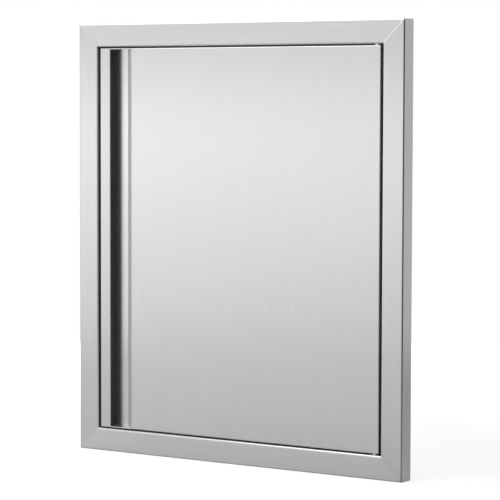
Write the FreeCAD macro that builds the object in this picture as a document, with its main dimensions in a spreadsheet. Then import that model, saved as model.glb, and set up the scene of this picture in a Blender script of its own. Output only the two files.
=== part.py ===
import FreeCAD, Part
import math
import os
import Sketcher

# Single access door for the wall of a BBQ island: a mitred trim frame of folded steel sheet, and an inset
# door that turns on two pins at its right edge and is pulled open by a recess near its left edge.
# Millimetres. The origin is the centre of the wall's cut-out on the wall's front plane: X to the right as
# seen from the front, Y into the wall, Z up.

doc = FreeCAD.newDocument("island_access_door")

DRIVING_SIZES = {
    # trim frame
    "frame_width": 533.4,
    "frame_height": 609.6,
    "trim_depth": 25.4,
    "rail_width": 32.5,
    "frame_sheet": 1.2,
    "trim_bend": 2.0,
    "opening_bend": 3.0,
    "rear_lip": 14.0,
    "sleeve_depth": 16.0,
    "stop_flange": 16.0,
    "gusset_leg": 62.0,
    "gusset_sheet": 1.5,
    "gusset_clearance": 2.0,
    "gusset_width": 18.0,
    # screw holes that fasten the frame to the wall
    "fixing_hole": 2.75,
    "fixing_setback": 7.0,
    "stile_fixing_inset": 72.3,
    "rail_fixing_inset": 74.2,
    # door
    "side_gap": 4.0,
    "end_gap": 2.0,
    "door_recess": 1.4,
    "door_thickness": 25.4,
    "door_sheet": 1.0,
    "door_bend": 1.5,
    "liner_sheet": 0.8,
    "liner_margin": 0.6,
    "liner_corner": 3.0,
    "door_lip": 14.0,
    "lip_joint_gap": 0.05,
    "stiffener_width": 40.0,
    "stiffener_end_gap": 6.0,
    # finger pull
    "strip_width": 17.2,
    "hem_width": 6.0,
    "hem_flat": 0.2,
    "mouth_width": 38.3,
    "pull_depth": 15.0,
    "pull_run": 17.1,
    "cap_sheet": 1.2,
    # hinge
    "pin_radius": 3.0,
    "pin_nose": 0.75,
    "running_clearance": 0.05,
    "pin_engagement": 5.0,
    "retract_clearance": 0.5,
    "bush_wall": 1.15,
    "bush_flange_width": 2.2,
    "bush_flange": 1.2,
    "hinge_plate_sheet": 3.0,
    "hinge_plate_length": 36.0,
    "hinge_plate_inset": 4.0,
    "hinge_plate_standoff": 0.3,
    "pin_head_step": 2.0,
    "pin_head": 2.0,
    "block_wall": 2.1,
    "block_front_wall": 1.2,
    "block_side_gap": 1.2,
    "housing_height": 50.0,
    "guide_height": 12.0,
    "collar_step": 1.2,
    "collar_clearance": 0.2,
    "collar_height": 5.0,
    "collar_drop": 18.0,
    "stem_step": 0.6,
    "plug_height": 6.0,
    "stem_reach": 3.0,
    "spring_wire": 0.45,
    "spring_turns": 6.0,
    "lower_pin_reach": 12.0,
    "lower_roof": 5.0,
    "bush_roof": 2.0,
    "thrust_gap": 0.1,
    # release knob
    "knob_shank": 1.5,
    "knob_radius": 5.0,
    "knob_waist": 3.5,
    "knob_face_radius": 4.25,
    "knob_length": 6.0,
    "knob_waist_length": 2.0,
    "knob_bevel": 1.0,
    "knob_standoff": 0.6,
    "slot_clearance": 0.3,
    # magnetic catch
    "catch_edge_gap": 1.5,
    "catch_width": 13.0,
    "catch_half_body": 13.0,
    "catch_half_ears": 22.0,
    "catch_ear_sheet": 3.0,
    "catch_screw_height": 17.8,
    "magnet_half_height": 10.0,
    "magnet_width": 5.2,
    "catch_floor": 3.7,
    "pole_sheet": 1.4,
    "pole_proud": 0.4,
    "catch_gap": 0.1,
    "strike_sheet": 1.2,
    "strike_edge_gap": 1.0,
    "strike_width": 13.0,
    "strike_half_height": 22.0,
    "strike_screw_height": 17.8,
    # rubber buffers
    "bumper_inset": 47.3,
    "bumper_radius": 5.0,
    "bumper_edge": 1.25,
    "bumper_stem": 2.4,
    "bumper_stem_reach": 2.5,
    # screws
    "screw_radius": 1.5,
    "screw_reach": 4.0,
    "screw_head_radius": 3.0,
    "screw_head": 1.6,
    "screw_head_edge": 0.95,
    "screw_hole_clearance": 0.05,
    "screw_recess_width": 0.9,
    "screw_recess_length": 3.2,
    "screw_recess_depth": 0.9,
    "liner_screw_inset": 6.5,
    "liner_screw_top": 60.0,
    "liner_screw_middle": 70.0,
    "liner_screw_across": 110.0,
    # how far a cut runs past the face that it enters or leaves by
    "overshoot": 1.0,
}

# Places that follow from the driving sizes.
PLACES = {
    "frame_front": "-sizes.trim_depth",
    "opening_x": "sizes.frame_width / 2 - sizes.rail_width",
    "opening_z": "sizes.frame_height / 2 - sizes.rail_width",
    "flange_front": "sizes.sleeve_depth - sizes.frame_sheet",
    "door_front": "-sizes.trim_depth + sizes.door_recess",
    "door_back": "places.door_front + sizes.door_thickness",
    "door_right": "places.opening_x - sizes.side_gap",
    "door_left": "-places.door_right",
    "door_top": "places.opening_z - sizes.end_gap",
    "door_bottom": "-places.door_top",
    "skin_inside": "places.door_front + sizes.door_sheet",
    "liner_front": "places.door_back - sizes.liner_sheet",
    "lip_front": "places.liner_front - sizes.door_sheet",
    "edge_inside": "places.door_left + sizes.door_sheet",
    "strip_right": "places.door_left + sizes.strip_width",
    "hem_left": "places.strip_right - sizes.hem_width",
    "hem_back": "places.door_front + 2 * sizes.door_sheet",
    "panel_left": "places.strip_right + sizes.mouth_width",
    "slope_foot": "places.panel_left - sizes.pull_run",
    "floor_front": "places.door_front + sizes.pull_depth",
    "slope_shift": "sizes.door_sheet * tan(atan(sizes.pull_depth / sizes.pull_run) / 2)",
    "flange_end": "places.lip_front - sizes.door_sheet",
    "bore_radius": "sizes.pin_radius + sizes.running_clearance",
    "bush_radius": "places.bore_radius + sizes.bush_wall",
    "bush_hole": "places.bush_radius + sizes.running_clearance",
    "bush_flange_radius": "places.bush_radius + sizes.bush_flange_width",
    "pin_head_radius": "sizes.pin_radius + sizes.pin_head_step",
    "collar_radius": "sizes.pin_radius + sizes.collar_step",
    "collar_bore": "places.collar_radius + sizes.collar_clearance",
    "stem_radius": "sizes.pin_radius - sizes.stem_step",
    "block_half_width": "places.collar_bore + sizes.block_wall",
    "pivot_x": "places.door_right - sizes.door_sheet - sizes.block_side_gap - places.block_half_width",
    "pivot_y": "places.skin_inside + sizes.block_front_wall + places.collar_bore",
    "rail_plate": "places.opening_z + sizes.frame_sheet",
    "rail_plate_back": "places.rail_plate + sizes.hinge_plate_sheet",
    "plate_left": "places.pivot_x - sizes.hinge_plate_length + places.block_half_width",
    "plate_right": "places.pivot_x + places.block_half_width + sizes.hinge_plate_inset",
    "plate_front": "-sizes.trim_depth + sizes.frame_sheet + sizes.hinge_plate_standoff",
    "plate_rear": "places.pivot_y + 2 * places.block_half_width",
    "block_left": "places.pivot_x - places.block_half_width",
    "block_right": "places.pivot_x + places.block_half_width",
    "block_rear": "places.pivot_y + places.block_half_width",
    "block_top": "places.door_top - sizes.door_sheet",
    "upper_pin_top": "places.opening_z + sizes.pin_engagement",
    "pin_travel": "places.upper_pin_top - places.door_top + sizes.retract_clearance",
    "housing_bottom": "places.block_top - sizes.housing_height",
    "guide_bottom": "places.block_top - sizes.guide_height",
    "collar_top": "places.block_top - sizes.collar_drop",
    "collar_bottom": "places.collar_top - sizes.collar_height",
    "knob_height": "places.collar_top - sizes.collar_height / 2",
    "plug_top": "places.housing_bottom + sizes.plug_height",
    "stem_bottom": "places.plug_top - sizes.stem_reach",
    "slot_radius": "sizes.knob_shank + sizes.slot_clearance",
    "slot_low": "places.knob_height - places.pin_travel",
    "lower_pin_top": "places.door_bottom + sizes.lower_pin_reach",
    "bush_end": "places.lower_pin_top + sizes.thrust_gap",
    "bush_top": "places.bush_end + sizes.bush_roof",
    "catch_left": "-places.opening_x + sizes.catch_edge_gap",
    "catch_right": "places.catch_left + sizes.catch_width",
    "catch_middle": "places.catch_left + sizes.catch_width / 2",
    "strike_left": "places.door_left + sizes.strike_edge_gap",
    "strike_right": "places.strike_left + sizes.strike_width",
    "strike_middle": "places.strike_left + sizes.strike_width / 2",
    "strike_back": "places.door_back + sizes.strike_sheet",
    "pole_front": "places.strike_back + sizes.catch_gap",
    "catch_front": "places.pole_front + sizes.pole_proud",
    "magnet_depth": "places.flange_front - places.catch_front - sizes.catch_floor",
    "magnet_left": "places.catch_middle - sizes.magnet_width / 2",
    "magnet_right": "places.catch_middle + sizes.magnet_width / 2",
    "ear_front": "places.flange_front - sizes.catch_ear_sheet",
    "screw_hole": "sizes.screw_radius + sizes.screw_hole_clearance",
    "liner_screw_x": "places.door_right - sizes.liner_screw_inset",
    "liner_screw_z": "places.door_top - sizes.liner_screw_inset",
    "liner_screw_row": "places.door_top - sizes.liner_screw_top",
    "bumper_height": "places.opening_z - sizes.bumper_inset",
    "rail_fixing_x": "places.opening_x - sizes.rail_fixing_inset",
    "stile_fixing_z": "places.opening_z - sizes.stile_fixing_inset",
    "knob_front": "places.door_back + sizes.knob_standoff - places.pivot_y",
    "knob_back": "places.knob_front + sizes.knob_length",
}


def fill_sheet(name, cells):
    """Make a spreadsheet with one aliased cell for each value."""
    table = doc.addObject("Spreadsheet::Sheet", name)
    for row, (alias, content) in enumerate(cells.items(), start=1):
        table.set(f"A{row}", alias)
        table.set(f"B{row}", str(content))
        table.setAlias(f"B{row}", alias)
    doc.recompute()
    return table


sizes = fill_sheet("sizes", DRIVING_SIZES)
own_cells = {alias: "=" + formula.replace("places.", "") for alias, formula in PLACES.items()}
places = fill_sheet("places", own_cells)


def value(expression):
    """Present value of an expression over the two sheets."""
    result = sizes.evalExpression(str(expression))
    return float(getattr(result, "Value", result))


def origin_plane(body, role):
    return [feature for feature in body.Origin.OriginFeatures if feature.Role == role][0]


def new_body(label):
    body = doc.addObject("PartDesign::Body", label)
    body.Label = label
    return body


def new_sketch(body, name, role, offset="0"):
    """Sketch on one of the body's own origin planes, moved along that plane's normal by offset."""
    sketch = body.newObject("Sketcher::SketchObject", name)
    sketch.AttachmentSupport = [(origin_plane(body, role), "")]
    sketch.MapMode = "FlatFace"
    sketch.setExpression("AttachmentOffset.Base.z", offset)
    return sketch


def bind_point(sketch, geometry, point, across, up):
    """Fix a point of the sketch at two expressions."""
    for kind, expression in (("DistanceX", across), ("DistanceY", up)):
        number = sketch.addConstraint(Sketcher.Constraint(kind, -1, 1, geometry, point, value(expression)))
        sketch.setExpression(f"Constraints[{number}]", expression)


def bind_radius(sketch, geometry, radius):
    number = sketch.addConstraint(Sketcher.Constraint("Radius", geometry, value(radius)))
    sketch.setExpression(f"Constraints[{number}]", radius)


def draw_outline(sketch, corners):
    """Closed outline through corners, each a pair of expressions."""
    first = sketch.GeometryCount
    spots = [FreeCAD.Vector(value(across), value(up), 0) for across, up in corners]
    count = len(spots)
    for index in range(count):
        sketch.addGeometry(Part.LineSegment(spots[index], spots[(index + 1) % count]), False)
    for index in range(count):
        after = first + (index + 1) % count
        sketch.addConstraint(Sketcher.Constraint("Coincident", first + index, 2, after, 1))
    for index, (across, up) in enumerate(corners):
        bind_point(sketch, first + index, 1, across, up)


def draw_rectangle(sketch, left, right, low, high):
    draw_outline(sketch, [(left, low), (right, low), (right, high), (left, high)])


def draw_circle(sketch, across, up, radius):
    centre = FreeCAD.Vector(value(across), value(up), 0)
    circle = sketch.addGeometry(Part.Circle(centre, FreeCAD.Vector(0, 0, 1), value(radius)), False)
    bind_point(sketch, circle, 3, across, up)
    bind_radius(sketch, circle, radius)


def draw_slot(sketch, across, low, high, radius):
    """Upright slot with round ends, whose end centres stand at low and high."""
    middle, bottom, top, half = (value(term) for term in (across, low, high, radius))
    normal = FreeCAD.Vector(0, 0, 1)
    low_circle = Part.Circle(FreeCAD.Vector(middle, bottom, 0), normal, half)
    high_circle = Part.Circle(FreeCAD.Vector(middle, top, 0), normal, half)
    lower = Part.ArcOfCircle(low_circle, math.pi, 2 * math.pi)
    upper = Part.ArcOfCircle(high_circle, 0, math.pi)
    right = Part.LineSegment(FreeCAD.Vector(middle + half, bottom, 0), FreeCAD.Vector(middle + half, top, 0))
    left = Part.LineSegment(FreeCAD.Vector(middle - half, top, 0), FreeCAD.Vector(middle - half, bottom, 0))
    arc_low, side_right, arc_high, side_left = [
        sketch.addGeometry(edge, False) for edge in (lower, right, upper, left)]
    sketch.addConstraint(Sketcher.Constraint("Tangent", arc_low, 2, side_right, 1))
    sketch.addConstraint(Sketcher.Constraint("Tangent", side_right, 2, arc_high, 1))
    sketch.addConstraint(Sketcher.Constraint("Tangent", arc_high, 2, side_left, 1))
    sketch.addConstraint(Sketcher.Constraint("Tangent", side_left, 2, arc_low, 1))
    bind_point(sketch, arc_low, 3, across, low)
    bind_point(sketch, arc_high, 3, across, high)
    bind_radius(sketch, arc_low, radius)


def add_pad(body, sketch, length, both_ways=False, backwards=False):
    pad = body.newObject("PartDesign::Pad", sketch.Name + "_pad")
    pad.Profile = sketch
    pad.setExpression("Length", length)
    pad.SideType = "Symmetric" if both_ways else "One side"
    pad.Reversed = backwards
    doc.recompute()
    return pad


def add_pocket(body, sketch, length=None, backwards=False):
    """Cut the sketch out of the body: by length, or right through both ways where no length is given."""
    before = body.Shape.Volume
    pocket = body.newObject("PartDesign::Pocket", sketch.Name + "_cut")
    pocket.Profile = sketch
    if length is None:
        pocket.Type = "ThroughAll"
        pocket.SideType = "Symmetric"
    else:
        pocket.setExpression("Length", length)
    pocket.Reversed = backwards
    doc.recompute()
    if not body.Shape.Volume < before:
        raise RuntimeError(f"{body.Label}: {pocket.Name} cuts nothing")
    return pocket


def edges_along(body, axis, spots):
    """Names of the body's straight edges along an axis through the given spots, its other two coordinates."""
    others = [index for index in range(3) if index != "xyz".index(axis)]
    wanted = [tuple(value(term) for term in spot) for spot in spots]
    names = []
    for number, edge in enumerate(body.Shape.Edges, start=1):
        ends = [vertex.Point for vertex in edge.Vertexes]
        if len(ends) != 2 or abs(edge.Length - (ends[0] - ends[1]).Length) > 1e-6:
            continue
        for spot in wanted:
            if all(math.dist([end[index] for index in others], spot) < 1e-4 for end in ends):
                names.append(f"Edge{number}")
    return names


def round_circles(body, centres_y, radius):
    """Names of the full circular edges of one radius that lie in one plane square to Y."""
    names = []
    for number, edge in enumerate(body.Shape.Edges, start=1):
        if isinstance(edge.Curve, Part.Circle) and abs(edge.Curve.Radius - value(radius)) < 1e-6:
            if abs(edge.Curve.Center.y - value(centres_y)) < 1e-6:
                names.append(f"Edge{number}")
    return names


def add_fillet(body, names, radius):
    if not names:
        raise RuntimeError(f"{body.Label}: no edge to round")
    before = body.Tip
    fillet = body.newObject("PartDesign::Fillet", "bend")
    fillet.Base = (before, names)
    fillet.setExpression("Radius", radius)
    doc.recompute()


def place_body(body, across="0", back="0", up="0"):
    for letter, expression in (("x", across), ("y", back), ("z", up)):
        body.setExpression(f"Placement.Base.{letter}", expression)


def turned_piece(label, corners, across, back, up="0", lying=False):
    """Piece turned about its own axis, with corners as pairs of radius and height. Lying, it lies along Y."""
    body = new_body(label)
    sketch = new_sketch(body, label + "_half", "XZ_Plane")
    draw_outline(sketch, corners)
    turn = body.newObject("PartDesign::Revolution", label + "_turned")
    turn.Profile = sketch
    turn.ReferenceAxis = (sketch, ["V_Axis"])
    turn.Angle = 360
    if lying:
        body.Placement = FreeCAD.Placement(FreeCAD.Vector(), FreeCAD.Rotation(FreeCAD.Vector(1, 0, 0), -90))
    place_body(body, across, back, up)
    doc.recompute()
    return body


def signed(sign, expression):
    return f"{sign} * ({expression})"


# Trim frame

def frame_member(label, length, across, fixing_reach, turn):
    """One folded member of the trim, drawn as the bottom rail of a frame and turned into its place about Y.

    length is over the mitres, across is the frame's size square to the member, and fixing_reach is how far
    the screw holes stand from its middle.
    """
    body = new_body(label)
    outer = f"-({across}) / 2"
    opening = f"{outer} + sizes.rail_width"
    front, sheet, wall = "places.frame_front", "sizes.frame_sheet", "sizes.sleeve_depth"
    corners = {
        "lip_end": ("0", f"{outer} + sizes.rear_lip"),
        "lip_bend": ("0", outer),
        "face_bend": (front, outer),
        "opening_bend": (front, opening),
        "stop_bend_inside": ("places.flange_front", opening),
        "stop_end": ("places.flange_front", f"{opening} + sizes.stop_flange"),
        "stop_end_back": (wall, f"{opening} + sizes.stop_flange"),
        "stop_bend": (wall, f"{opening} - {sheet}"),
        "opening_bend_inside": (f"{front} + {sheet}", f"{opening} - {sheet}"),
        "face_bend_inside": (f"{front} + {sheet}", f"{outer} + {sheet}"),
        "lip_bend_inside": (f"-{sheet}", f"{outer} + {sheet}"),
        "lip_end_inside": (f"-{sheet}", f"{outer} + sizes.rear_lip"),
    }
    section = new_sketch(body, label + "_section", "YZ_Plane")
    draw_outline(section, list(corners.values()))
    add_pad(body, section, length, both_ways=True)
    for radius, bends in (
            ("sizes.trim_bend", ("lip_bend", "face_bend", "stop_bend")),
            ("sizes.opening_bend", ("opening_bend",))):
        for suffix, thickness in (("", "0"), ("_inside", sheet)):
            spots = [corners[bend + suffix] for bend in bends]
            add_fillet(body, edges_along(body, "x", spots), f"{radius} - {thickness}")
    mitres = new_sketch(body, label + "_mitres", "XZ_Plane")
    beyond = "sizes.overshoot"
    reach = f"(sizes.rail_width + sizes.stop_flange + {beyond})"
    for sign in (1, -1):
        draw_outline(mitres, [
            (signed(sign, f"({length}) / 2 + {beyond}"), f"{outer} - {beyond}"),
            (signed(sign, f"({length}) / 2 + {beyond}"), f"{outer} + {reach}"),
            (signed(sign, f"({length}) / 2 - {reach}"), f"{outer} + {reach}")])
    add_pocket(body, mitres)
    fixings = new_sketch(body, label + "_fixing_holes", "XY_Plane")
    for sign in (1, -1):
        draw_circle(fixings, signed(sign, fixing_reach), "sizes.fixing_setback", "sizes.fixing_hole")
    add_pocket(body, fixings, f"({across}) / 2")
    body.Placement = FreeCAD.Placement(FreeCAD.Vector(), FreeCAD.Rotation(FreeCAD.Vector(0, 1, 0), turn))
    doc.recompute()
    return body


def drill_rail(body, across, radius):
    """Hinge hole through a rail's sleeve wall, in the rail's own drawing position."""
    hole = new_sketch(body, body.Label + "_hinge_hole", "XY_Plane")
    draw_circle(hole, across, "places.pivot_y", radius)
    add_pocket(body, hole, "places.rail_plate")


def drill_catch_stile(body):
    """Holes through the left stile's rear flange for the catch's screws and the buffers' stems."""
    holes = new_sketch(body, body.Label + "_flange_holes", "XZ_Plane")
    stem_hole = "sizes.bumper_stem + sizes.screw_hole_clearance"
    for sign in (1, -1):
        for height, radius in (("sizes.catch_screw_height", "places.screw_hole"),
                               ("places.bumper_height", stem_hole)):
            draw_circle(holes, signed(sign, height), "places.catch_middle", radius)
    add_pocket(body, holes, "sizes.sleeve_depth")


def corner_gussets():
    """Four welded angle plates behind the face at the mitres."""
    body = new_body("corner_gussets")
    sketch = new_sketch(body, "gusset_outlines", "XZ_Plane", "-(places.frame_front + sizes.frame_sheet)")
    edge = "(sizes.frame_sheet + sizes.gusset_clearance)"
    inner = "(sizes.frame_sheet + sizes.gusset_clearance + sizes.gusset_width)"
    for side in (1, -1):
        for end in (1, -1):
            width, height = "sizes.frame_width / 2", "sizes.frame_height / 2"
            draw_outline(sketch, [
                (signed(side, f"{width} - {edge}"), signed(end, f"{height} - {edge}")),
                (signed(side, f"{width} - sizes.gusset_leg"), signed(end, f"{height} - {edge}")),
                (signed(side, f"{width} - sizes.gusset_leg"), signed(end, f"{height} - {inner}")),
                (signed(side, f"{width} - {inner}"), signed(end, f"{height} - {inner}")),
                (signed(side, f"{width} - {inner}"), signed(end, f"{height} - sizes.gusset_leg")),
                (signed(side, f"{width} - {edge}"), signed(end, f"{height} - sizes.gusset_leg"))])
    add_pad(body, sketch, "sizes.gusset_sheet", backwards=True)
    return body


def hinge_plate(label, side, hole):
    """Thick plate in the hollow of a rail, against its sleeve wall, that carries a pin or a bush.

    side is 1 in the top rail and -1 in the bottom rail. The front edge is chamfered past the rail's bend.
    """
    body = new_body(label)
    low = "places.rail_plate" if side > 0 else "-places.rail_plate_back"
    sketch = new_sketch(body, label + "_outline", "XY_Plane", low)
    draw_rectangle(
        sketch, "places.plate_left", "places.plate_right", "places.plate_front", "places.plate_rear")
    draw_circle(sketch, "places.pivot_x", "places.pivot_y", hole)
    add_pad(body, sketch, "sizes.hinge_plate_sheet")
    corner = edges_along(body, "x", [("places.plate_front", signed(side, "places.rail_plate"))])
    before = body.Tip
    chamfer = body.newObject("PartDesign::Chamfer", label + "_chamfer")
    chamfer.Base = (before, corner)
    chamfer.setExpression("Size", "sizes.opening_bend - sizes.frame_sheet")
    doc.recompute()
    return body


def make_frame():
    width, height = "sizes.frame_width", "sizes.frame_height"
    bottom = frame_member("bottom_rail", width, height, "places.rail_fixing_x", 0)
    drill_rail(bottom, "places.pivot_x", "places.bore_radius")
    top = frame_member("top_rail", width, height, "places.rail_fixing_x", 180)
    drill_rail(top, "-places.pivot_x", "places.bush_hole")
    left = frame_member("left_stile", height, width, "places.stile_fixing_z", 90)
    drill_catch_stile(left)
    right = frame_member("right_stile", height, width, "places.stile_fixing_z", -90)
    upper_plate = hinge_plate("upper_hinge_plate", 1, "places.bush_hole")
    lower_plate = hinge_plate("lower_hinge_plate", -1, "places.bore_radius")
    return [top, bottom, left, right, corner_gussets(), upper_plate, lower_plate]


# Hinge: the turned pieces

def upper_hinge_bush():
    flange_top = "places.rail_plate_back + sizes.bush_flange"
    return turned_piece("upper_hinge_bush", [
        ("places.bore_radius", "places.opening_z"),
        ("places.bush_radius", "places.opening_z"),
        ("places.bush_radius", "places.rail_plate_back"),
        ("places.bush_flange_radius", "places.rail_plate_back"),
        ("places.bush_flange_radius", flange_top),
        ("places.bore_radius", flange_top)], "places.pivot_x", "places.pivot_y")


def lower_hinge_pin():
    head_top = "-places.rail_plate_back"
    head_bottom = f"{head_top} - sizes.pin_head"
    nose = "sizes.pin_nose"
    return turned_piece("lower_hinge_pin", [
        ("0", head_bottom),
        ("places.pin_head_radius", head_bottom),
        ("places.pin_head_radius", head_top),
        ("sizes.pin_radius", head_top),
        ("sizes.pin_radius", f"places.lower_pin_top - {nose}"),
        (f"sizes.pin_radius - {nose}", "places.lower_pin_top"),
        ("0", "places.lower_pin_top")], "places.pivot_x", "places.pivot_y")


def lower_hinge_bush():
    return turned_piece("lower_hinge_bush", [
        ("places.bore_radius", "places.door_bottom"),
        ("places.bush_radius", "places.door_bottom"),
        ("places.bush_radius", "places.bush_top"),
        ("0", "places.bush_top"),
        ("0", "places.bush_end"),
        ("places.bore_radius", "places.bush_end")], "places.pivot_x", "places.pivot_y")


def upper_hinge_pin():
    """Sprung pin with a collar for the spring and a thinner stem that the plug guides."""
    nose = "sizes.pin_nose"
    body = turned_piece("upper_hinge_pin", [
        ("0", "places.stem_bottom"),
        ("places.stem_radius", "places.stem_bottom"),
        ("places.stem_radius", "places.collar_bottom"),
        ("places.collar_radius", "places.collar_bottom"),
        ("places.collar_radius", "places.collar_top"),
        ("sizes.pin_radius", "places.collar_top"),
        ("sizes.pin_radius", f"places.upper_pin_top - {nose}"),
        (f"sizes.pin_radius - {nose}", "places.upper_pin_top"),
        ("0", "places.upper_pin_top")], "places.pivot_x", "places.pivot_y")
    hole = new_sketch(body, "knob_hole", "XZ_Plane")
    draw_circle(hole, "0", "places.knob_height", "sizes.knob_shank + sizes.screw_hole_clearance")
    add_pocket(body, hole, "places.collar_radius")
    return body


def spring_plug():
    """Threaded plug in the housing's mouth, the spring's seat."""
    hole = "places.stem_radius + sizes.running_clearance"
    outside = "places.collar_bore - sizes.running_clearance"
    return turned_piece("spring_plug", [
        (hole, "places.housing_bottom"),
        (outside, "places.housing_bottom"),
        (outside, "places.plug_top"),
        (hole, "places.plug_top")], "places.pivot_x", "places.pivot_y")


def pin_spring():
    """Open coil spring between the plug and the pin's collar."""
    body = new_body("pin_spring")
    sketch = new_sketch(body, "spring_wire_section", "XZ_Plane")
    mean_radius = "(places.stem_radius + places.collar_bore) / 2"
    first_coil = "places.plug_top + sizes.spring_wire + sizes.running_clearance"
    last_coil = "places.collar_bottom - sizes.spring_wire - sizes.running_clearance"
    draw_circle(sketch, mean_radius, first_coil, "sizes.spring_wire")
    doc.recompute()
    coils = body.newObject("PartDesign::AdditiveHelix", "spring_coils")
    coils.Profile = sketch
    coils.ReferenceAxis = (sketch, ["V_Axis"])
    coils.Mode = "height-turns-angle"
    coils.setExpression("Height", f"{last_coil} - ({first_coil})")
    coils.setExpression("Turns", "sizes.spring_turns")
    place_body(body, "places.pivot_x", "places.pivot_y")
    doc.recompute()
    return body


def release_knob():
    """Knob that screws into the pin's collar and stands out through the slots at the back of the door."""
    front, back, bevel = "places.knob_front", "places.knob_back", "sizes.knob_bevel"
    return turned_piece("release_knob", [
        ("0", "0"),
        ("sizes.knob_shank", "0"),
        ("sizes.knob_shank", front),
        ("sizes.knob_waist", front),
        ("sizes.knob_waist", f"{front} + sizes.knob_waist_length"),
        ("sizes.knob_radius", f"{front} + sizes.knob_waist_length + {bevel}"),
        ("sizes.knob_radius", f"{back} - {bevel}"),
        ("sizes.knob_face_radius", back),
        ("0", back)], "places.pivot_x", "places.pivot_y", "places.knob_height", lying=True)


def block_stretch(body, name, low, length, bore=None):
    """One stretch of a block behind the skin on the hinge line, bored where a bore is given."""
    sketch = new_sketch(body, name, "XY_Plane", low)
    draw_rectangle(
        sketch, "places.block_left", "places.block_right", "places.skin_inside", "places.block_rear")
    if bore is not None:
        draw_circle(sketch, "places.pivot_x", "places.pivot_y", bore)
    add_pad(body, sketch, length)


def upper_pin_housing():
    """Block welded behind the skin: a close guide at its top and a wider bore for collar and spring below."""
    body = new_body("upper_pin_housing")
    block_stretch(body, "spring_bore", "places.housing_bottom",
                  "places.guide_bottom - places.housing_bottom", "places.collar_bore")
    block_stretch(body, "pin_guide", "places.guide_bottom", "sizes.guide_height", "places.bore_radius")
    slot = new_sketch(body, "housing_slot", "XZ_Plane", "-places.pivot_y")
    draw_slot(slot, "places.pivot_x", "places.slot_low", "places.knob_height", "places.slot_radius")
    add_pocket(body, slot, "2 * places.block_half_width")
    return body


def lower_hinge_block():
    """Block welded behind the skin at the door's foot, with a blind bore for the lower bush."""
    body = new_body("lower_hinge_block")
    block_stretch(body, "bush_bore", "-places.block_top", "places.bush_top + places.block_top",
                  "places.bush_hole")
    block_stretch(body, "block_roof", "places.bush_top", "sizes.lower_roof")
    return body


def make_hinge():
    return [upper_hinge_bush(), lower_hinge_pin(), lower_hinge_bush(), upper_hinge_pin(), spring_plug(),
            pin_spring(), release_knob(), upper_pin_housing(), lower_hinge_block()]


# Door

def door_skin():
    """Front sheet: main panel, slope and floor of the finger pull, returns and lips behind its edges."""
    body = new_body("door_skin")
    sheet = "sizes.door_sheet"
    corners = {
        "lip_end": ("places.door_right - sizes.door_lip", "places.liner_front"),
        "lip_bend": ("places.door_right", "places.liner_front"),
        "right_bend": ("places.door_right", "places.door_front"),
        "panel_bend": ("places.panel_left", "places.door_front"),
        "slope_foot": ("places.slope_foot", "places.floor_front"),
        "floor_bend": ("places.edge_inside", "places.floor_front"),
        "flange_end": ("places.edge_inside", "places.flange_end"),
        "flange_end_inside": (f"places.edge_inside + {sheet}", "places.flange_end"),
        "floor_bend_inside": (f"places.edge_inside + {sheet}", f"places.floor_front + {sheet}"),
        "slope_foot_inside": ("places.slope_foot + places.slope_shift", f"places.floor_front + {sheet}"),
        "panel_bend_inside": ("places.panel_left + places.slope_shift", "places.skin_inside"),
        "right_bend_inside": (f"places.door_right - {sheet}", "places.skin_inside"),
        "lip_bend_inside": (f"places.door_right - {sheet}", "places.lip_front"),
        "lip_end_inside": ("places.door_right - sizes.door_lip", "places.lip_front"),
    }
    section = new_sketch(body, "skin_section", "XY_Plane")
    draw_outline(section, list(corners.values()))
    add_pad(body, section, "2 * places.door_top", both_ways=True)
    ends = [corners[name] for name in ("lip_bend", "right_bend", "panel_bend", "slope_foot", "floor_bend")]
    ends.append(("places.edge_inside", "places.liner_front"))
    for name, low in (("top_return", "places.block_top"), ("bottom_return", "places.door_bottom")):
        plate = new_sketch(body, name, "XY_Plane", low)
        draw_outline(plate, ends)
        add_pad(body, plate, sheet)
    lip_left = "places.door_left + sizes.door_lip + sizes.lip_joint_gap"
    for sign, name in ((1, "top_lip"), (-1, "bottom_lip")):
        lip = new_sketch(body, name, "XZ_Plane", "-places.lip_front")
        draw_rectangle(lip, lip_left, "places.door_right",
                       signed(sign, "places.door_top - sizes.door_lip"), signed(sign, "places.door_top"))
        add_pad(body, lip, sheet, backwards=True)
    top_and_bottom = ("places.door_top", "places.door_bottom")
    rounded = edges_along(body, "z", [corners["right_bend"], corners["panel_bend"]])
    rounded += edges_along(body, "x", [("places.door_front", level) for level in top_and_bottom])
    rounded += edges_along(body, "y", [("places.door_right", level) for level in top_and_bottom])
    add_fillet(body, rounded, "sizes.door_bend")
    drill_door_skin(body)
    return body


def drill_door_skin(body):
    upper = new_sketch(body, "upper_pin_hole", "XY_Plane", "places.door_top")
    draw_circle(upper, "places.pivot_x", "places.pivot_y", "sizes.pin_radius + sizes.slot_clearance")
    add_pocket(body, upper, "sizes.door_sheet")
    lower = new_sketch(body, "lower_bush_hole", "XY_Plane", "-places.block_top")
    draw_circle(lower, "places.pivot_x", "places.pivot_y", "places.bush_hole")
    add_pocket(body, lower, "sizes.door_sheet")
    slot = new_sketch(body, "lip_slot", "XZ_Plane", "-places.lip_front")
    draw_slot(slot, "places.pivot_x", "places.slot_low", "places.knob_height", "places.slot_radius")
    add_pocket(body, slot, "sizes.door_sheet")
    holes = new_sketch(body, "skin_screw_holes", "XZ_Plane", "-places.lip_front")
    for across, up in liner_screw_spots():
        if value(across) > value("places.door_left + sizes.door_lip"):
            draw_circle(holes, across, up, "places.screw_hole")
    add_pocket(body, holes, "sizes.door_sheet")


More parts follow.
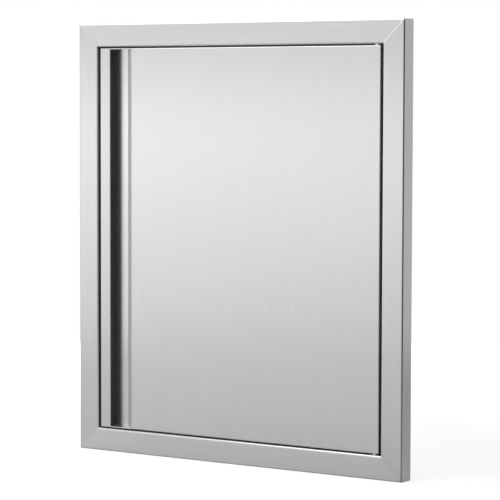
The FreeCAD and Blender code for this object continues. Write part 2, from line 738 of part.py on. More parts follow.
def pull_edge():
    """Folded left edge of the door: rear lip, side wall, and the front strip with its closed hem."""
    body = new_body("pull_edge")
    corners = {
        "lip_end": ("places.door_left + sizes.door_lip", "places.liner_front"),
        "lip_bend": ("places.door_left", "places.liner_front"),
        "left_bend": ("places.door_left", "places.door_front"),
        "hem_front": ("places.strip_right", "places.door_front"),
        "hem_rear": ("places.strip_right", "places.hem_back"),
        "hem_end": ("places.hem_left", "places.hem_back"),
        "hem_root": ("places.hem_left", "places.skin_inside"),
        "left_bend_inside": ("places.edge_inside", "places.skin_inside"),
        "lip_bend_inside": ("places.edge_inside", "places.lip_front"),
        "lip_end_inside": ("places.door_left + sizes.door_lip", "places.lip_front"),
    }
    section = new_sketch(body, "edge_section", "XY_Plane")
    draw_outline(section, list(corners.values()))
    add_pad(body, section, "2 * places.door_top", both_ways=True)
    add_fillet(body, edges_along(body, "z", [corners["left_bend"]]), "sizes.door_bend")
    hem_edges = edges_along(body, "z", [corners["hem_front"], corners["hem_rear"]])
    add_fillet(body, hem_edges, "sizes.door_sheet - sizes.hem_flat / 2")
    notches = new_sketch(body, "lip_notches", "XZ_Plane", "-places.lip_front")
    for sign in (1, -1):
        draw_rectangle(
            notches, "places.edge_inside", "places.door_left + sizes.door_lip + sizes.overshoot",
            signed(sign, "places.block_top"), signed(sign, "places.door_top + sizes.overshoot"))
    add_pocket(body, notches, "sizes.door_sheet")
    holes = new_sketch(body, "edge_screw_holes", "XZ_Plane", "-places.lip_front")
    for across, up in liner_screw_spots() + strike_screw_spots():
        if value(across) < value("places.door_left + sizes.door_lip"):
            draw_circle(holes, across, up, "places.screw_hole")
    add_pocket(body, holes, "sizes.door_sheet")
    return body


def pull_cap(label, low):
    """Plate that closes one end of the finger pull, flush with the door's end."""
    body = new_body(label)
    sketch = new_sketch(body, label + "_outline", "XY_Plane", low)
    draw_outline(sketch, [
        ("places.edge_inside", "places.skin_inside"),
        ("places.hem_left", "places.skin_inside"),
        ("places.hem_left", "places.hem_back"),
        ("places.strip_right", "places.hem_back"),
        ("places.strip_right", "places.door_front"),
        ("places.panel_left", "places.door_front"),
        ("places.slope_foot", "places.floor_front"),
        ("places.edge_inside", "places.floor_front")])
    add_pad(body, sketch, "sizes.cap_sheet")
    return body


def liner_screw_spots():
    """Four screws down each side of the liner, and two along its top and two along its bottom."""
    spots = []
    for side in (1, -1):
        for end in (1, -1):
            spots.append((signed(side, "places.liner_screw_x"), signed(end, "places.liner_screw_row")))
            spots.append((signed(side, "places.liner_screw_x"), signed(end, "sizes.liner_screw_middle")))
            spots.append((signed(side, "sizes.liner_screw_across"), signed(end, "places.liner_screw_z")))
    return spots


def strike_screw_spots():
    return [("places.strike_middle", signed(sign, "sizes.strike_screw_height")) for sign in (1, -1)]


def catch_screw_spots():
    return [("places.catch_middle", signed(sign, "sizes.catch_screw_height")) for sign in (1, -1)]


def door_liner():
    """Flat back sheet of the hollow door."""
    body = new_body("door_liner")
    sheet = new_sketch(body, "liner_outline", "XZ_Plane", "-places.liner_front")
    right = "places.door_right - sizes.liner_margin"
    top = "places.door_top - sizes.liner_margin"
    draw_rectangle(sheet, f"-({right})", right, f"-({top})", top)
    add_pad(body, sheet, "sizes.liner_sheet", backwards=True)
    corners = [(signed(side, right), signed(end, top)) for side in (1, -1) for end in (1, -1)]
    add_fillet(body, edges_along(body, "y", corners), "sizes.liner_corner")
    holes = new_sketch(body, "liner_holes", "XZ_Plane", "-places.liner_front")
    for across, up in liner_screw_spots() + strike_screw_spots():
        draw_circle(holes, across, up, "places.screw_hole")
    draw_slot(holes, "places.pivot_x", "places.slot_low", "places.knob_height", "places.slot_radius")
    add_pocket(body, holes, "sizes.liner_sheet")
    return body


def door_stiffener():
    """Folded channel that stands between skin and liner in the middle of the door."""
    body = new_body("door_stiffener")
    sketch = new_sketch(body, "stiffener_section", "XY_Plane")
    half, sheet = "sizes.stiffener_width / 2", "sizes.door_sheet"
    front, back = "places.skin_inside", "places.liner_front"
    draw_outline(sketch, [
        (f"-{half}", front), (half, front), (half, back), (f"{half} - {sheet}", back),
        (f"{half} - {sheet}", f"{front} + {sheet}"), (f"-{half} + {sheet}", f"{front} + {sheet}"),
        (f"-{half} + {sheet}", back), (f"-{half}", back)])
    add_pad(body, sketch, "2 * (places.door_top - sizes.door_lip - sizes.stiffener_end_gap)", both_ways=True)
    add_fillet(body, edges_along(body, "z", [(f"-{half}", front), (half, front)]), "sizes.door_bend")
    return body


def make_door():
    return [door_skin(), pull_edge(), pull_cap("pull_cap_top", "places.door_top - sizes.cap_sheet"),
            pull_cap("pull_cap_bottom", "places.door_bottom"), door_liner(), door_stiffener()]


# Catch, strike, buffers and screws

def block_at(label, outlines, front, depth):
    """Block or blocks with outlines seen from the front, from front backwards by depth."""
    body = new_body(label)
    sketch = new_sketch(body, label + "_outline", "XZ_Plane", f"-({front})")
    for left, right, low, high in outlines:
        draw_rectangle(sketch, left, right, low, high)
    add_pad(body, sketch, depth, backwards=True)
    return body


def catch_housing():
    """Plastic body of the catch: a base with two ears on the stile's flange, and a box for the magnet."""
    left, right, half_body = "places.catch_left", "places.catch_right", "sizes.catch_half_body"
    base = [(left, right, "-sizes.catch_half_ears", "sizes.catch_half_ears")]
    body = block_at("catch_housing", base, "places.ear_front", "sizes.catch_ear_sheet")
    box = new_sketch(body, "catch_box", "XZ_Plane", "-places.catch_front")
    draw_rectangle(box, left, right, f"-{half_body}", half_body)
    add_pad(body, box, "places.flange_front - places.catch_front", backwards=True)
    cavity = new_sketch(body, "magnet_cavity", "XZ_Plane", "-places.catch_front")
    draw_rectangle(cavity, "places.magnet_left - sizes.pole_sheet", "places.magnet_right + sizes.pole_sheet",
                   "-sizes.magnet_half_height", "sizes.magnet_half_height")
    add_pocket(body, cavity, "places.magnet_depth")
    holes = new_sketch(body, "catch_screw_holes", "XZ_Plane", "-places.ear_front")
    for across, up in catch_screw_spots():
        draw_circle(holes, across, up, "places.screw_hole")
    add_pocket(body, holes, "sizes.catch_ear_sheet")
    return body


def strike_plate():
    low, high = "-sizes.strike_half_height", "sizes.strike_half_height"
    outline = [("places.strike_left", "places.strike_right", low, high)]
    body = block_at("strike_plate", outline, "places.door_back", "sizes.strike_sheet")
    holes = new_sketch(body, "strike_screw_holes", "XZ_Plane", "-places.door_back")
    for across, up in strike_screw_spots():
        draw_circle(holes, across, up, "places.screw_hole")
    add_pocket(body, holes, "sizes.strike_sheet")
    return body


def screw_group(label, spots, seat, faces_front):
    """Pan head screws along Y whose heads sit on the plane seat, with a cross recess each."""
    body = new_body(label)
    reach, head = "sizes.screw_reach", "sizes.screw_head"
    shanks = new_sketch(body, label + "_shanks", "XZ_Plane", f"-({seat})")
    heads = new_sketch(body, label + "_heads", "XZ_Plane", f"-({seat})")
    for across, up in spots:
        draw_circle(shanks, across, up, "sizes.screw_radius")
        draw_circle(heads, across, up, "sizes.screw_head_radius")
    add_pad(body, shanks, reach, backwards=faces_front)
    add_pad(body, heads, head, backwards=not faces_front)
    top = f"{seat} - {head}" if faces_front else f"{seat} + {head}"
    add_fillet(body, round_circles(body, top, "sizes.screw_head_radius"), "sizes.screw_head_edge")
    half_length, half_width = "sizes.screw_recess_length / 2", "sizes.screw_recess_width / 2"
    for name, half_across, half_up in (
            ("level_slots", half_length, half_width), ("upright_slots", half_width, half_length)):
        slots = new_sketch(body, f"{label}_{name}", "XZ_Plane", f"-({top})")
        for across, up in spots:
            draw_rectangle(slots, f"{across} - {half_across}", f"{across} + {half_across}",
                           f"{up} - {half_up}", f"{up} + {half_up}")
        add_pocket(body, slots, "sizes.screw_recess_depth", backwards=not faces_front)
    return body


def door_bumpers():
    """Two rubber buffers on the left stile's flange, their stems through it."""
    body = new_body("door_bumpers")
    front = "places.door_back + sizes.catch_gap"
    for name, start, length, radius in (
            ("buffers", front, f"places.flange_front - ({front})", "sizes.bumper_radius"),
            ("buffer_stems", "places.flange_front", "sizes.frame_sheet + sizes.bumper_stem_reach",
             "sizes.bumper_stem")):
        sketch = new_sketch(body, name, "XZ_Plane", f"-({start})")
        for sign in (1, -1):
            draw_circle(sketch, "places.catch_middle", signed(sign, "places.bumper_height"), radius)
        add_pad(body, sketch, length, backwards=True)
    add_fillet(body, round_circles(body, front, "sizes.bumper_radius"), "sizes.bumper_edge")
    return body


def make_fittings():
    low, high = "-sizes.magnet_half_height", "sizes.magnet_half_height"
    left, right = "places.magnet_left", "places.magnet_right"
    magnet = block_at("catch_magnet", [(left, right, low, high)], "places.catch_front", "places.magnet_depth")
    poles = block_at("catch_pole_plates", [
        (f"{left} - sizes.pole_sheet", left, low, high),
        (right, f"{right} + sizes.pole_sheet", low, high)],
        "places.pole_front", "places.magnet_depth + sizes.pole_proud")
    return [catch_housing(), magnet, poles, strike_plate(), door_bumpers(),
            screw_group("catch_screws", catch_screw_spots(), "places.ear_front", faces_front=True),
            screw_group("strike_screws", strike_screw_spots(), "places.strike_back", faces_front=False),
            screw_group("liner_screws", liner_screw_spots(), "places.door_back", faces_front=False)]


def check_document(pieces):
    """Stop if any object failed or any piece has no valid solid."""
    for item in doc.Objects:
        if {"Invalid", "Error"} & set(item.State):
            raise RuntimeError(f"{item.Label} failed: {item.State}")
    for piece in pieces:
        if piece.Shape.isNull() or not piece.Shape.isValid() or not piece.Shape.Solids:
            raise RuntimeError(f"{piece.Label} has no valid solid")


pieces = make_frame() + make_hinge() + make_door() + make_fittings()
doc.recompute()
check_document(pieces)
os.makedirs("parts", exist_ok=True)
for piece in pieces:
    piece.Shape.exportStep(f"parts/{piece.Label}.step")
    print(piece.Label, len(piece.Shape.Solids), round(piece.Shape.Volume))
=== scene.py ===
"""BBQ island access door: the finish and the fine pieces of each body, with a plain studio round it."""

import math

import bmesh
import bpy
from bpy.props import FloatProperty, FloatVectorProperty, IntProperty, PointerProperty
from mathutils import Matrix, Vector


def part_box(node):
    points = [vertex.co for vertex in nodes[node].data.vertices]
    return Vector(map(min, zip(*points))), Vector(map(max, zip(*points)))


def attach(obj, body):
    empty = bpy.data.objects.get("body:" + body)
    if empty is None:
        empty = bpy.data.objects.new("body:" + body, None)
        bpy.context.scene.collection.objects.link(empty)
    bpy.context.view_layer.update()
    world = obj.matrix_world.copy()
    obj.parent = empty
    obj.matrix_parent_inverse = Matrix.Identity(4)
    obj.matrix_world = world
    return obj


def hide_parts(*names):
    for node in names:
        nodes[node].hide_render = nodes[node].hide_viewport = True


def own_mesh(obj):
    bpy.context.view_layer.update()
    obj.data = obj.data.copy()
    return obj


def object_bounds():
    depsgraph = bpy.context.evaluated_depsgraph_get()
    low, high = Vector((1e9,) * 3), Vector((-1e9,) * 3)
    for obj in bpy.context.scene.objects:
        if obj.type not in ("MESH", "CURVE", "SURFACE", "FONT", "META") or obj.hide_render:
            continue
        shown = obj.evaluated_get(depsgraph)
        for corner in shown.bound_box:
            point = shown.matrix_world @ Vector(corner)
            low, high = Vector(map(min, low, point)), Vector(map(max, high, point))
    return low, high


bl_info = {
    "name": "BBQ Island Access Door",
    "version": (1, 0, 0),
    "blender": (4, 5, 0),
    "location": "3D View > Sidebar > Access Door",
    "description": "Finishes a brushed stainless access door piece by piece",
    "category": "Object",
}

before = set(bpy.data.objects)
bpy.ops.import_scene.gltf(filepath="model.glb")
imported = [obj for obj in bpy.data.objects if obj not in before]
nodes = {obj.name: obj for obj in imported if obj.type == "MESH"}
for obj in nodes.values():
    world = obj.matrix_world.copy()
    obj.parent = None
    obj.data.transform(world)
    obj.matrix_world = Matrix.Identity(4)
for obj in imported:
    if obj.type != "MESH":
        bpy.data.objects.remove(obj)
cad_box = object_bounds()
trim_low, trim_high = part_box("top_rail")
door_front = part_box("door_skin")[0].y
opening_side, opening_end = 0.2342, 0.2723  # half the width and height of the trim's opening
trim_sheet = 0.0012
front = (0, -1, 0)


# ---------------- node tree helpers

def add_node(tree, kind, inputs=None, **settings):
    """Adds a node, sets its settings, and gives each named input a value or a link."""
    node = tree.nodes.new(kind)
    for name, value in settings.items():
        setattr(node, name, value)
    for key, value in (inputs or {}).items():
        socket = node.inputs[key]
        if isinstance(value, bpy.types.NodeSocket):
            tree.links.new(value, socket)
        else:
            socket.default_value = value
    return node


def maths(tree, operation, first, second=0.0, third=0.0, clamp=False):
    """Output of a Math node on numbers or sockets."""
    return add_node(tree, "ShaderNodeMath", {0: first, 1: second, 2: third},
                    operation=operation, use_clamp=clamp).outputs[0]


def times(tree, first, *others):
    """Product of numbers or sockets."""
    for other in others:
        first = maths(tree, "MULTIPLY", first, other)
    return first


def plus(tree, first, *others):
    """Sum of numbers or sockets."""
    for other in others:
        first = maths(tree, "ADD", first, other)
    return first


def xyz(tree, place):
    """X, Y and Z of a place."""
    return add_node(tree, "ShaderNodeSeparateXYZ", {0: place}).outputs


def own_place(tree):
    """Place in the piece's own frame."""
    return add_node(tree, "ShaderNodeTexCoord").outputs["Object"]


def dot(tree, first, second):
    """How far two directions agree, or how far a place lies along a direction."""
    return add_node(tree, "ShaderNodeVectorMath", {0: first, 1: second}, operation="DOT_PRODUCT").outputs["Value"]


def eased(tree, value, start, end, low=0.0, high=1.0):
    """Smooth step of a value from low at start to high at end."""
    return add_node(tree, "ShaderNodeMapRange", {
        "Value": value, "From Min": start, "From Max": end, "To Min": low, "To Max": high},
        interpolation_type="SMOOTHSTEP").outputs["Result"]


def noise(tree, place, scale, detail=2.0, roughness=0.5):
    """Noise whose scale is given along each axis, in features per metre."""
    stretched = add_node(tree, "ShaderNodeMapping", {"Vector": place, "Scale": scale}).outputs[0]
    return add_node(tree, "ShaderNodeTexNoise", {
        "Vector": stretched, "Scale": 1.0, "Detail": detail, "Roughness": roughness}).outputs["Fac"]


def swing(tree, value, amount):
    """Noise value turned into a swing round zero."""
    return maths(tree, "MULTIPLY_ADD", value, amount, -0.5 * amount)


def shaded(tree, colour, tone):
    """Colour made lighter or darker by a tone round 1."""
    return add_node(tree, "ShaderNodeHueSaturation", {"Color": (*colour, 1.0), "Value": tone}).outputs[0]


def dimmed(tree, tone, mask, share):
    """Tone brought down to a share of itself where the mask is 1."""
    return times(tree, tone, maths(tree, "MULTIPLY_ADD", mask, share - 1.0, 1.0))


def bumped(tree, height, depth):
    """Normal of a surface with fine relief, whose depth is in metres."""
    return add_node(tree, "ShaderNodeBump", {"Height": height, "Distance": depth, "Strength": 1.0}).outputs[0]


def new_material(name, colour):
    """Empty node material whose viewport colour matches its finish."""
    material = bpy.data.materials.new(name)
    material.use_nodes = True
    material.node_tree.nodes.clear()
    material.diffuse_color = (*colour, 1.0)
    return material


def finish_material(tree, shader):
    """Ends a material with its shader."""
    add_node(tree, "ShaderNodeOutputMaterial", {"Surface": shader.outputs[0]})


# ---------------- finishes

def mitre_seam(tree, place, width, gain):
    """Mask of the seam welded and ground on each mitre, and how much it is brighter than the face.

    The seams get a painted highlight: strongest at the top right, turned to painted shade at the bottom right,
    and none on the left.
    """
    parts = xyz(tree, place)
    side = maths(tree, "SUBTRACT", maths(tree, "ABSOLUTE", parts["X"]), trim_high.x)
    end = maths(tree, "SUBTRACT", maths(tree, "ABSOLUTE", parts["Z"]), trim_high.z)
    gap = times(tree, maths(tree, "ABSOLUTE", maths(tree, "SUBTRACT", side, end)), math.sqrt(0.5))
    seam = eased(tree, gap, width * 0.6, width, 1.0, 0.0)
    right = eased(tree, parts["X"], -0.1, 0.1)
    # painted highlight on the right seams, turned to painted shade at the bottom right
    seam_shade = -0.3 * gain
    seam_highlight = eased(tree, parts["Z"], -0.1, 0.1, seam_shade, gain)
    return seam, times(tree, seam, right, seam_highlight)


def shaded_inside_opening(tree, place):
    """1 on the wall, sleeve and stop flange inside the trim's opening, 0 on its visible faces."""
    # painted shade: this mask marks the dull side that is darkened inside the opening
    parts = xyz(tree, place)
    inside = []
    for axis, edge in (("X", opening_side), ("Z", opening_end)):
        away = maths(tree, "ABSOLUTE", parts[axis])
        inside.append(eased(tree, away, edge + trim_sheet, edge + 1.5 * trim_sheet, 1.0, 0.0))
    deep = eased(tree, parts["Y"], trim_low.y + 0.005, trim_low.y + 0.012)
    return times(tree, *inside, deep)


def shaded_outer_bend(tree, place):
    """1 on the rounded bends between the stiles' faces and their outer sides, 0 on the flat faces."""
    # painted shade: this mask marks the outer bends whose colour is darkened
    across = maths(tree, "ABSOLUTE", xyz(tree, place)["X"])
    side = eased(tree, across, trim_high.x - 0.0045, trim_high.x - 0.004)
    past_side, flat_face = facing(tree, front, 0.10, 0.35), facing(tree, front, 0.94, 0.99)
    return times(tree, side, maths(tree, "SUBTRACT", past_side, flat_face))


def facing(tree, direction, start, end):
    """1 where the surface faces a direction of the piece's own frame, 0 where it faces away."""
    normal = add_node(tree, "ShaderNodeTexCoord").outputs["Normal"]
    return eased(tree, dot(tree, normal, direction), start, end)


def brushed_steel(name, colour, axis, steel, mitred=False, spread=1.0, back=None, pressed=None, bend_shade=None):
    """Stainless sheet brushed along one axis: long fine lines, wider soft bands, and gloss drawn out across them.

    back is a function that gives the part with the sheet's dull unbrushed side, which is rougher and also
    darkened by painted shade, pressed one for the change in roughness of pressed parts, and bend one for the
    painted shade that darkens the outer bends.
    """
    material = new_material(name, colour)
    tree = material.node_tree
    place = own_place(tree)
    along = Vector([1.0 if i == axis else 0.0 for i in range(3)])
    across = Vector((1.0, 1.0, 1.0)) - along
    lines = noise(tree, place, across / steel.line_pitch + along / steel.line_length, 3.0, 0.65)
    bands = noise(tree, place, across / steel.band_pitch + along / steel.band_length, 2.0, 0.6)
    clouds = noise(tree, place, (9.0, 9.0, 9.0), 2.0, 0.5)
    tone = plus(tree, swing(tree, lines, steel.line_contrast), swing(tree, bands, steel.band_contrast),
                swing(tree, clouds, 0.02), 1.0)
    rough = plus(tree, swing(tree, lines, 0.015), swing(tree, clouds, 0.01), steel.roughness * spread)
    if back:
        dull = back(tree, place)
        # painted shade: the dull side is darkened in the trim's opening and in the pull's channel; only its added
        # roughness is its own
        tone = dimmed(tree, tone, dull, steel.back_tone)
        added_roughness = 0.12
        rough = maths(tree, "MULTIPLY_ADD", dull, added_roughness, rough)
    if pressed:
        rough = plus(tree, pressed(tree, place), rough)
    # painted shade darkens the trim's outer bends
    if bend_shade:
        tone = dimmed(tree, tone, bend_shade(tree, place), steel.bend_tone)
    height = lines
    if mitred:
        # painted highlight on the top right mitre seam, painted shade on the bottom right one
        seam, seam_highlight = mitre_seam(tree, place, steel.mitre_width, steel.mitre_polish)
        tone = plus(tree, tone, seam_highlight)
        height = times(tree, lines, maths(tree, "SUBTRACT", 1.0, seam))
    grain = add_node(tree, "ShaderNodeCombineXYZ", {0: along.x, 1: along.y, 2: along.z}).outputs[0]
    grain = add_node(tree, "ShaderNodeVectorTransform", {0: grain}, vector_type="VECTOR",
                     convert_from="OBJECT", convert_to="WORLD").outputs[0]
    finish_material(tree, add_node(tree, "ShaderNodeBsdfPrincipled", {
        "Base Color": shaded(tree, colour, tone), "Metallic": 1.0, "Roughness": rough,
        "Normal": bumped(tree, height, steel.line_depth), "Tangent": grain,
        "Anisotropic": steel.draw_out, "Anisotropic Rotation": 0.25}))
    return material


def shaded_strip_back(tree, place):
    """Inner side of the folded pull edge: its back and the side towards the finger space."""
    # painted shade: this mask marks the pull edge's inner side that is darkened in the channel
    return maths(tree, "MAXIMUM", facing(tree, (0, 1, 0), 0.2, 0.6), facing(tree, (1, 0, 0), 0.5, 0.9))


def pressed_pull(tree, place):
    """Change in roughness where the finger pull is pressed into the skin: rougher slope, smoother floor."""
    slope = facing(tree, (-0.66, -0.75, 0), 0.94, 0.99)
    deep = eased(tree, xyz(tree, place)["Y"], door_front + 0.012, door_front + 0.014)
    floor = times(tree, deep, facing(tree, front, 0.9, 0.99))
    return maths(tree, "MULTIPLY_ADD", floor, -0.1, times(tree, slope, 0.2))


def gritty(name, colour, roughness, grit, depth, detail, patch, tones, gloss, **shader):
    """Finish with a fine even grit, and softer patches of so many to the metre.

    tones and gloss are how far tone and roughness swing, with the grit and with the patches.
    """
    material = new_material(name, colour)
    tree = material.node_tree
    place = own_place(tree)
    fine = noise(tree, place, (1 / grit,) * 3, *detail)
    patches = noise(tree, place, (patch,) * 3, 3.0, 0.6)
    tone = plus(tree, swing(tree, fine, tones[0]), swing(tree, patches, tones[1]), 1.0)
    rough = plus(tree, swing(tree, fine, gloss[0]), swing(tree, patches, gloss[1]), roughness)
    finish_material(tree, add_node(tree, "ShaderNodeBsdfPrincipled", {
        "Base Color": shaded(tree, colour, tone), "Roughness": rough,
        "Normal": bumped(tree, fine, depth), **shader}))
    return material


def plain_metal(name, colour, roughness, grit, depth, metallic=1.0):
    """Turned, drawn or sintered metal with a fine even grit and slight dull patches."""
    return gritty(name, colour, roughness, grit, depth, (3.0, 0.6), 60.0, (0.12, 0.12), (0.1, 0.14),
                  Metallic=metallic)


def moulded(name, colour, roughness, grit, depth, glow=0.0):
    """Moulded plastic or rubber with a fine leathery grain."""
    glowing = {"Subsurface Weight": glow, "Subsurface Radius": (0.002, 0.002, 0.0018)} if glow else {}
    return gritty(name, colour, roughness, grit, depth, (2.0, 0.5), 90.0, (0.1, 0.25), (0.08, 0.16), **glowing)


def dress(material, *names):
    """Gives CAD nodes their finish."""
    for name in names:
        slots = nodes[name].data.materials
        slots.clear()
        slots.append(material)


# ---------------- pieces grown by node trees

def new_tree(name, sizes):
    """Geometry node tree with a geometry input, a named input for each size, and a finish."""
    tree = bpy.data.node_groups.new(name, "GeometryNodeTree")
    kinds = {float: "NodeSocketFloat", int: "NodeSocketInt", tuple: "NodeSocketVector"}
    tree.interface.new_socket("Geometry", in_out="INPUT", socket_type="NodeSocketGeometry")
    for label, value in sizes.items():
        tree.interface.new_socket(label, in_out="INPUT", socket_type=kinds[type(value)]).default_value = value
    tree.interface.new_socket("Finish", in_out="INPUT", socket_type="NodeSocketMaterial")
    tree.interface.new_socket("Geometry", in_out="OUTPUT", socket_type="NodeSocketGeometry")
    return tree, add_node(tree, "NodeGroupInput").outputs


def place_parts(tree):
    """X, Y and Z of the points of the geometry at hand."""
    return xyz(tree, add_node(tree, "GeometryNodeInputPosition").outputs[0])


def point_at(tree, x, y, z):
    """Vector of three numbers or sockets."""
    return add_node(tree, "ShaderNodeCombineXYZ", {0: x, 1: y, 2: z}).outputs[0]


def widened(tree, at, factor, up):
    """Point whose X and Y are scaled by a factor, at a height up."""
    return point_at(tree, times(tree, at["X"], factor), times(tree, at["Y"], factor), up)


def moved(tree, geometry, place):
    """Geometry whose points go to a place each."""
    return add_node(tree, "GeometryNodeSetPosition", {"Geometry": geometry, "Position": place}).outputs[0]


def combined(tree, kind, socket, pieces, **settings):
    """Output of a node that takes several pieces in one socket."""
    node = add_node(tree, kind, **settings)
    for piece in pieces:
        tree.links.new(piece, node.inputs[socket])
    return node


def set_on(tree, points, piece, stance=None):
    """A copy of a piece on each point."""
    inputs = {"Points": points, "Instance": piece}
    if stance:
        inputs["Rotation"] = stance
    return add_node(tree, "GeometryNodeInstanceOnPoints", inputs).outputs[0]


def finish_tree(tree, geometry, finish, sharp_angle):
    """Ends a tree: smooth shading with crisp edges, plain geometry and its material."""
    angle = add_node(tree, "GeometryNodeInputMeshEdgeAngle").outputs["Unsigned Angle"]
    crisp = add_node(tree, "FunctionNodeCompare", {0: angle, 1: sharp_angle}, data_type="FLOAT",
                     operation="GREATER_THAN").outputs[0]
    plain = add_node(tree, "GeometryNodeRealizeInstances", {0: geometry}).outputs[0]
    smooth = add_node(tree, "GeometryNodeSetShadeSmooth", {"Geometry": plain, "Shade Smooth": True}, domain="FACE")
    edged = add_node(tree, "GeometryNodeSetShadeSmooth", {
        "Geometry": smooth.outputs[0], "Selection": crisp, "Shade Smooth": False}, domain="EDGE").outputs[0]
    made = add_node(tree, "GeometryNodeSetMaterial", {"Geometry": edged, "Material": finish}).outputs[0]
    add_node(tree, "NodeGroupOutput", {0: made})


def pan_screw_tree():
    """Pan head screws with a tapered cross recess and a threaded shank, one turned at random on each point."""
    tree, given = new_tree("pan_head_screws", {
        "Head Radius": 0.003, "Head Height": 0.0016, "Head Squareness": 3.2, "Shank Radius": 0.0015,
        "Shank Length": 0.004, "Thread Pitch": 0.0007, "Thread Depth": 0.0002, "Recess Length": 0.0032,
        "Recess Width": 0.0009, "Recess Depth": 0.0009, "Heading": (0.0, 1.0, 0.0), "Seed": 7})
    ball = add_node(tree, "GeometryNodeMeshUVSphere", {"Segments": 40, "Rings": 20, "Radius": 1.0}).outputs["Mesh"]
    at = place_parts(tree)
    ring = maths(tree, "SQRT", plus(tree, *(maths(tree, "POWER", at[axis], 2.0) for axis in ("X", "Y"))))
    ring = maths(tree, "MAXIMUM", ring, 0.0001)
    power = maths(tree, "DIVIDE", 2.0, given["Head Squareness"])
    swell = times(tree, maths(tree, "DIVIDE", maths(tree, "POWER", ring, power), ring), given["Head Radius"])
    dome = maths(tree, "POWER", maths(tree, "MAXIMUM", at["Z"], 0.0), power)
    head = moved(tree, ball, widened(tree, at, swell, times(tree, dome, given["Head Height"])))
    root = 0.0003  # how far the shank reaches up into the head
    length = plus(tree, given["Shank Length"], root)
    rod = add_node(tree, "GeometryNodeMeshCylinder", {
        "Vertices": 24, "Side Segments": 36, "Radius": given["Shank Radius"], "Depth": length}).outputs["Mesh"]
    at = place_parts(tree)
    down = plus(tree, maths(tree, "MULTIPLY_ADD", length, -0.5, at["Z"]), root)
    turn = maths(tree, "DIVIDE", maths(tree, "ARCTAN2", at["Y"], at["X"]), math.tau)
    phase = plus(tree, maths(tree, "DIVIDE", down, given["Thread Pitch"]), turn)
    wave = times(tree, maths(tree, "PINGPONG", phase, 0.5), 2.0)
    groove = maths(tree, "DIVIDE", times(tree, wave, given["Thread Depth"]), given["Shank Radius"])
    above_tip = plus(tree, down, given["Shank Length"])
    narrow = maths(tree, "SUBTRACT", eased(tree, above_tip, 0.0, 0.0006, 0.7, 1.0), groove)
    shank = moved(tree, rod, widened(tree, at, narrow, down))
    body = combined(tree, "GeometryNodeMeshBoolean", "Mesh 2", [head, shank], operation="UNION", solver="EXACT")
    arms = []
    twice = times(tree, given["Recess Depth"], 2.0)
    for across, up in (("Recess Length", "Recess Width"), ("Recess Width", "Recess Length")):
        block = add_node(tree, "GeometryNodeMeshCube", {"Size": point_at(tree, given[across], given[up], twice)})
        at = place_parts(tree)
        taper = maths(tree, "MULTIPLY_ADD", maths(tree, "DIVIDE", at["Z"], given["Recess Depth"]), 0.35, 1.0)
        raised = plus(tree, at["Z"], given["Head Height"])
        arms.append(moved(tree, block.outputs["Mesh"], widened(tree, at, taper, raised)))
    cut = combined(tree, "GeometryNodeMeshBoolean", "Mesh 2", arms, operation="DIFFERENCE", solver="EXACT")
    tree.links.new(body.outputs["Mesh"], cut.inputs["Mesh 1"])
    screw = add_node(tree, "GeometryNodeMergeByDistance", {"Geometry": cut.outputs["Mesh"], "Distance": 0.000002})
    upright = add_node(tree, "FunctionNodeAlignRotationToVector", {"Vector": given["Heading"]},
                       axis="Z").outputs[0]
    chance = add_node(tree, "FunctionNodeRandomValue", {2: 0.0, 3: math.pi / 2, "Seed": given["Seed"]},
                      data_type="FLOAT").outputs[1]
    driven = add_node(tree, "FunctionNodeEulerToRotation", {0: point_at(tree, 0.0, 0.0, chance)}).outputs[0]
    stance = add_node(tree, "FunctionNodeRotateRotation", {0: upright, 1: driven},
                      rotation_space="LOCAL").outputs[0]
    spots = set_on(tree, given["Geometry"], screw.outputs[0], stance)
    finish_tree(tree, spots, given["Finish"], math.radians(28))
    return tree


def coil_spring_tree():
    """Coil spring of round wire on each point, its end turns closed."""
    tree, given = new_tree("coil_spring", {
        "Wire Radius": 0.00045, "Coil Radius": 0.0034, "Turns": 7.0, "Closed Turns": 1.0, "Height": 0.02})
    coil = add_node(tree, "GeometryNodeCurveSpiral", {
        "Resolution": 40, "Rotations": given["Turns"], "Start Radius": given["Coil Radius"],
        "End Radius": given["Coil Radius"], "Height": 0.0}).outputs[0]
    share = add_node(tree, "GeometryNodeSplineParameter").outputs["Factor"]
    closed = maths(tree, "DIVIDE", given["Closed Turns"], given["Turns"])
    solid = times(tree, given["Wire Radius"], 2.1, given["Turns"])
    reach = maths(tree, "MULTIPLY_ADD", given["Wire Radius"], -2.0, given["Height"])
    open_share = maths(tree, "DIVIDE", maths(tree, "SUBTRACT", share, closed),
                       maths(tree, "MULTIPLY_ADD", closed, -2.0, 1.0), clamp=True)
    rise = plus(tree, times(tree, share, solid), times(tree, open_share, maths(tree, "SUBTRACT", reach, solid)))
    at = place_parts(tree)
    coil = moved(tree, coil, point_at(tree, at["X"], at["Y"], plus(tree, rise, given["Wire Radius"])))
    wire = add_node(tree, "GeometryNodeCurvePrimitiveCircle", {"Resolution": 16, "Radius": given["Wire Radius"]})
    round_wire = add_node(tree, "GeometryNodeCurveToMesh", {
        "Curve": coil, "Profile Curve": wire.outputs[0], "Fill Caps": True}).outputs[0]
    finish_tree(tree, set_on(tree, given["Geometry"], round_wire), given["Finish"], math.radians(50))
    return tree


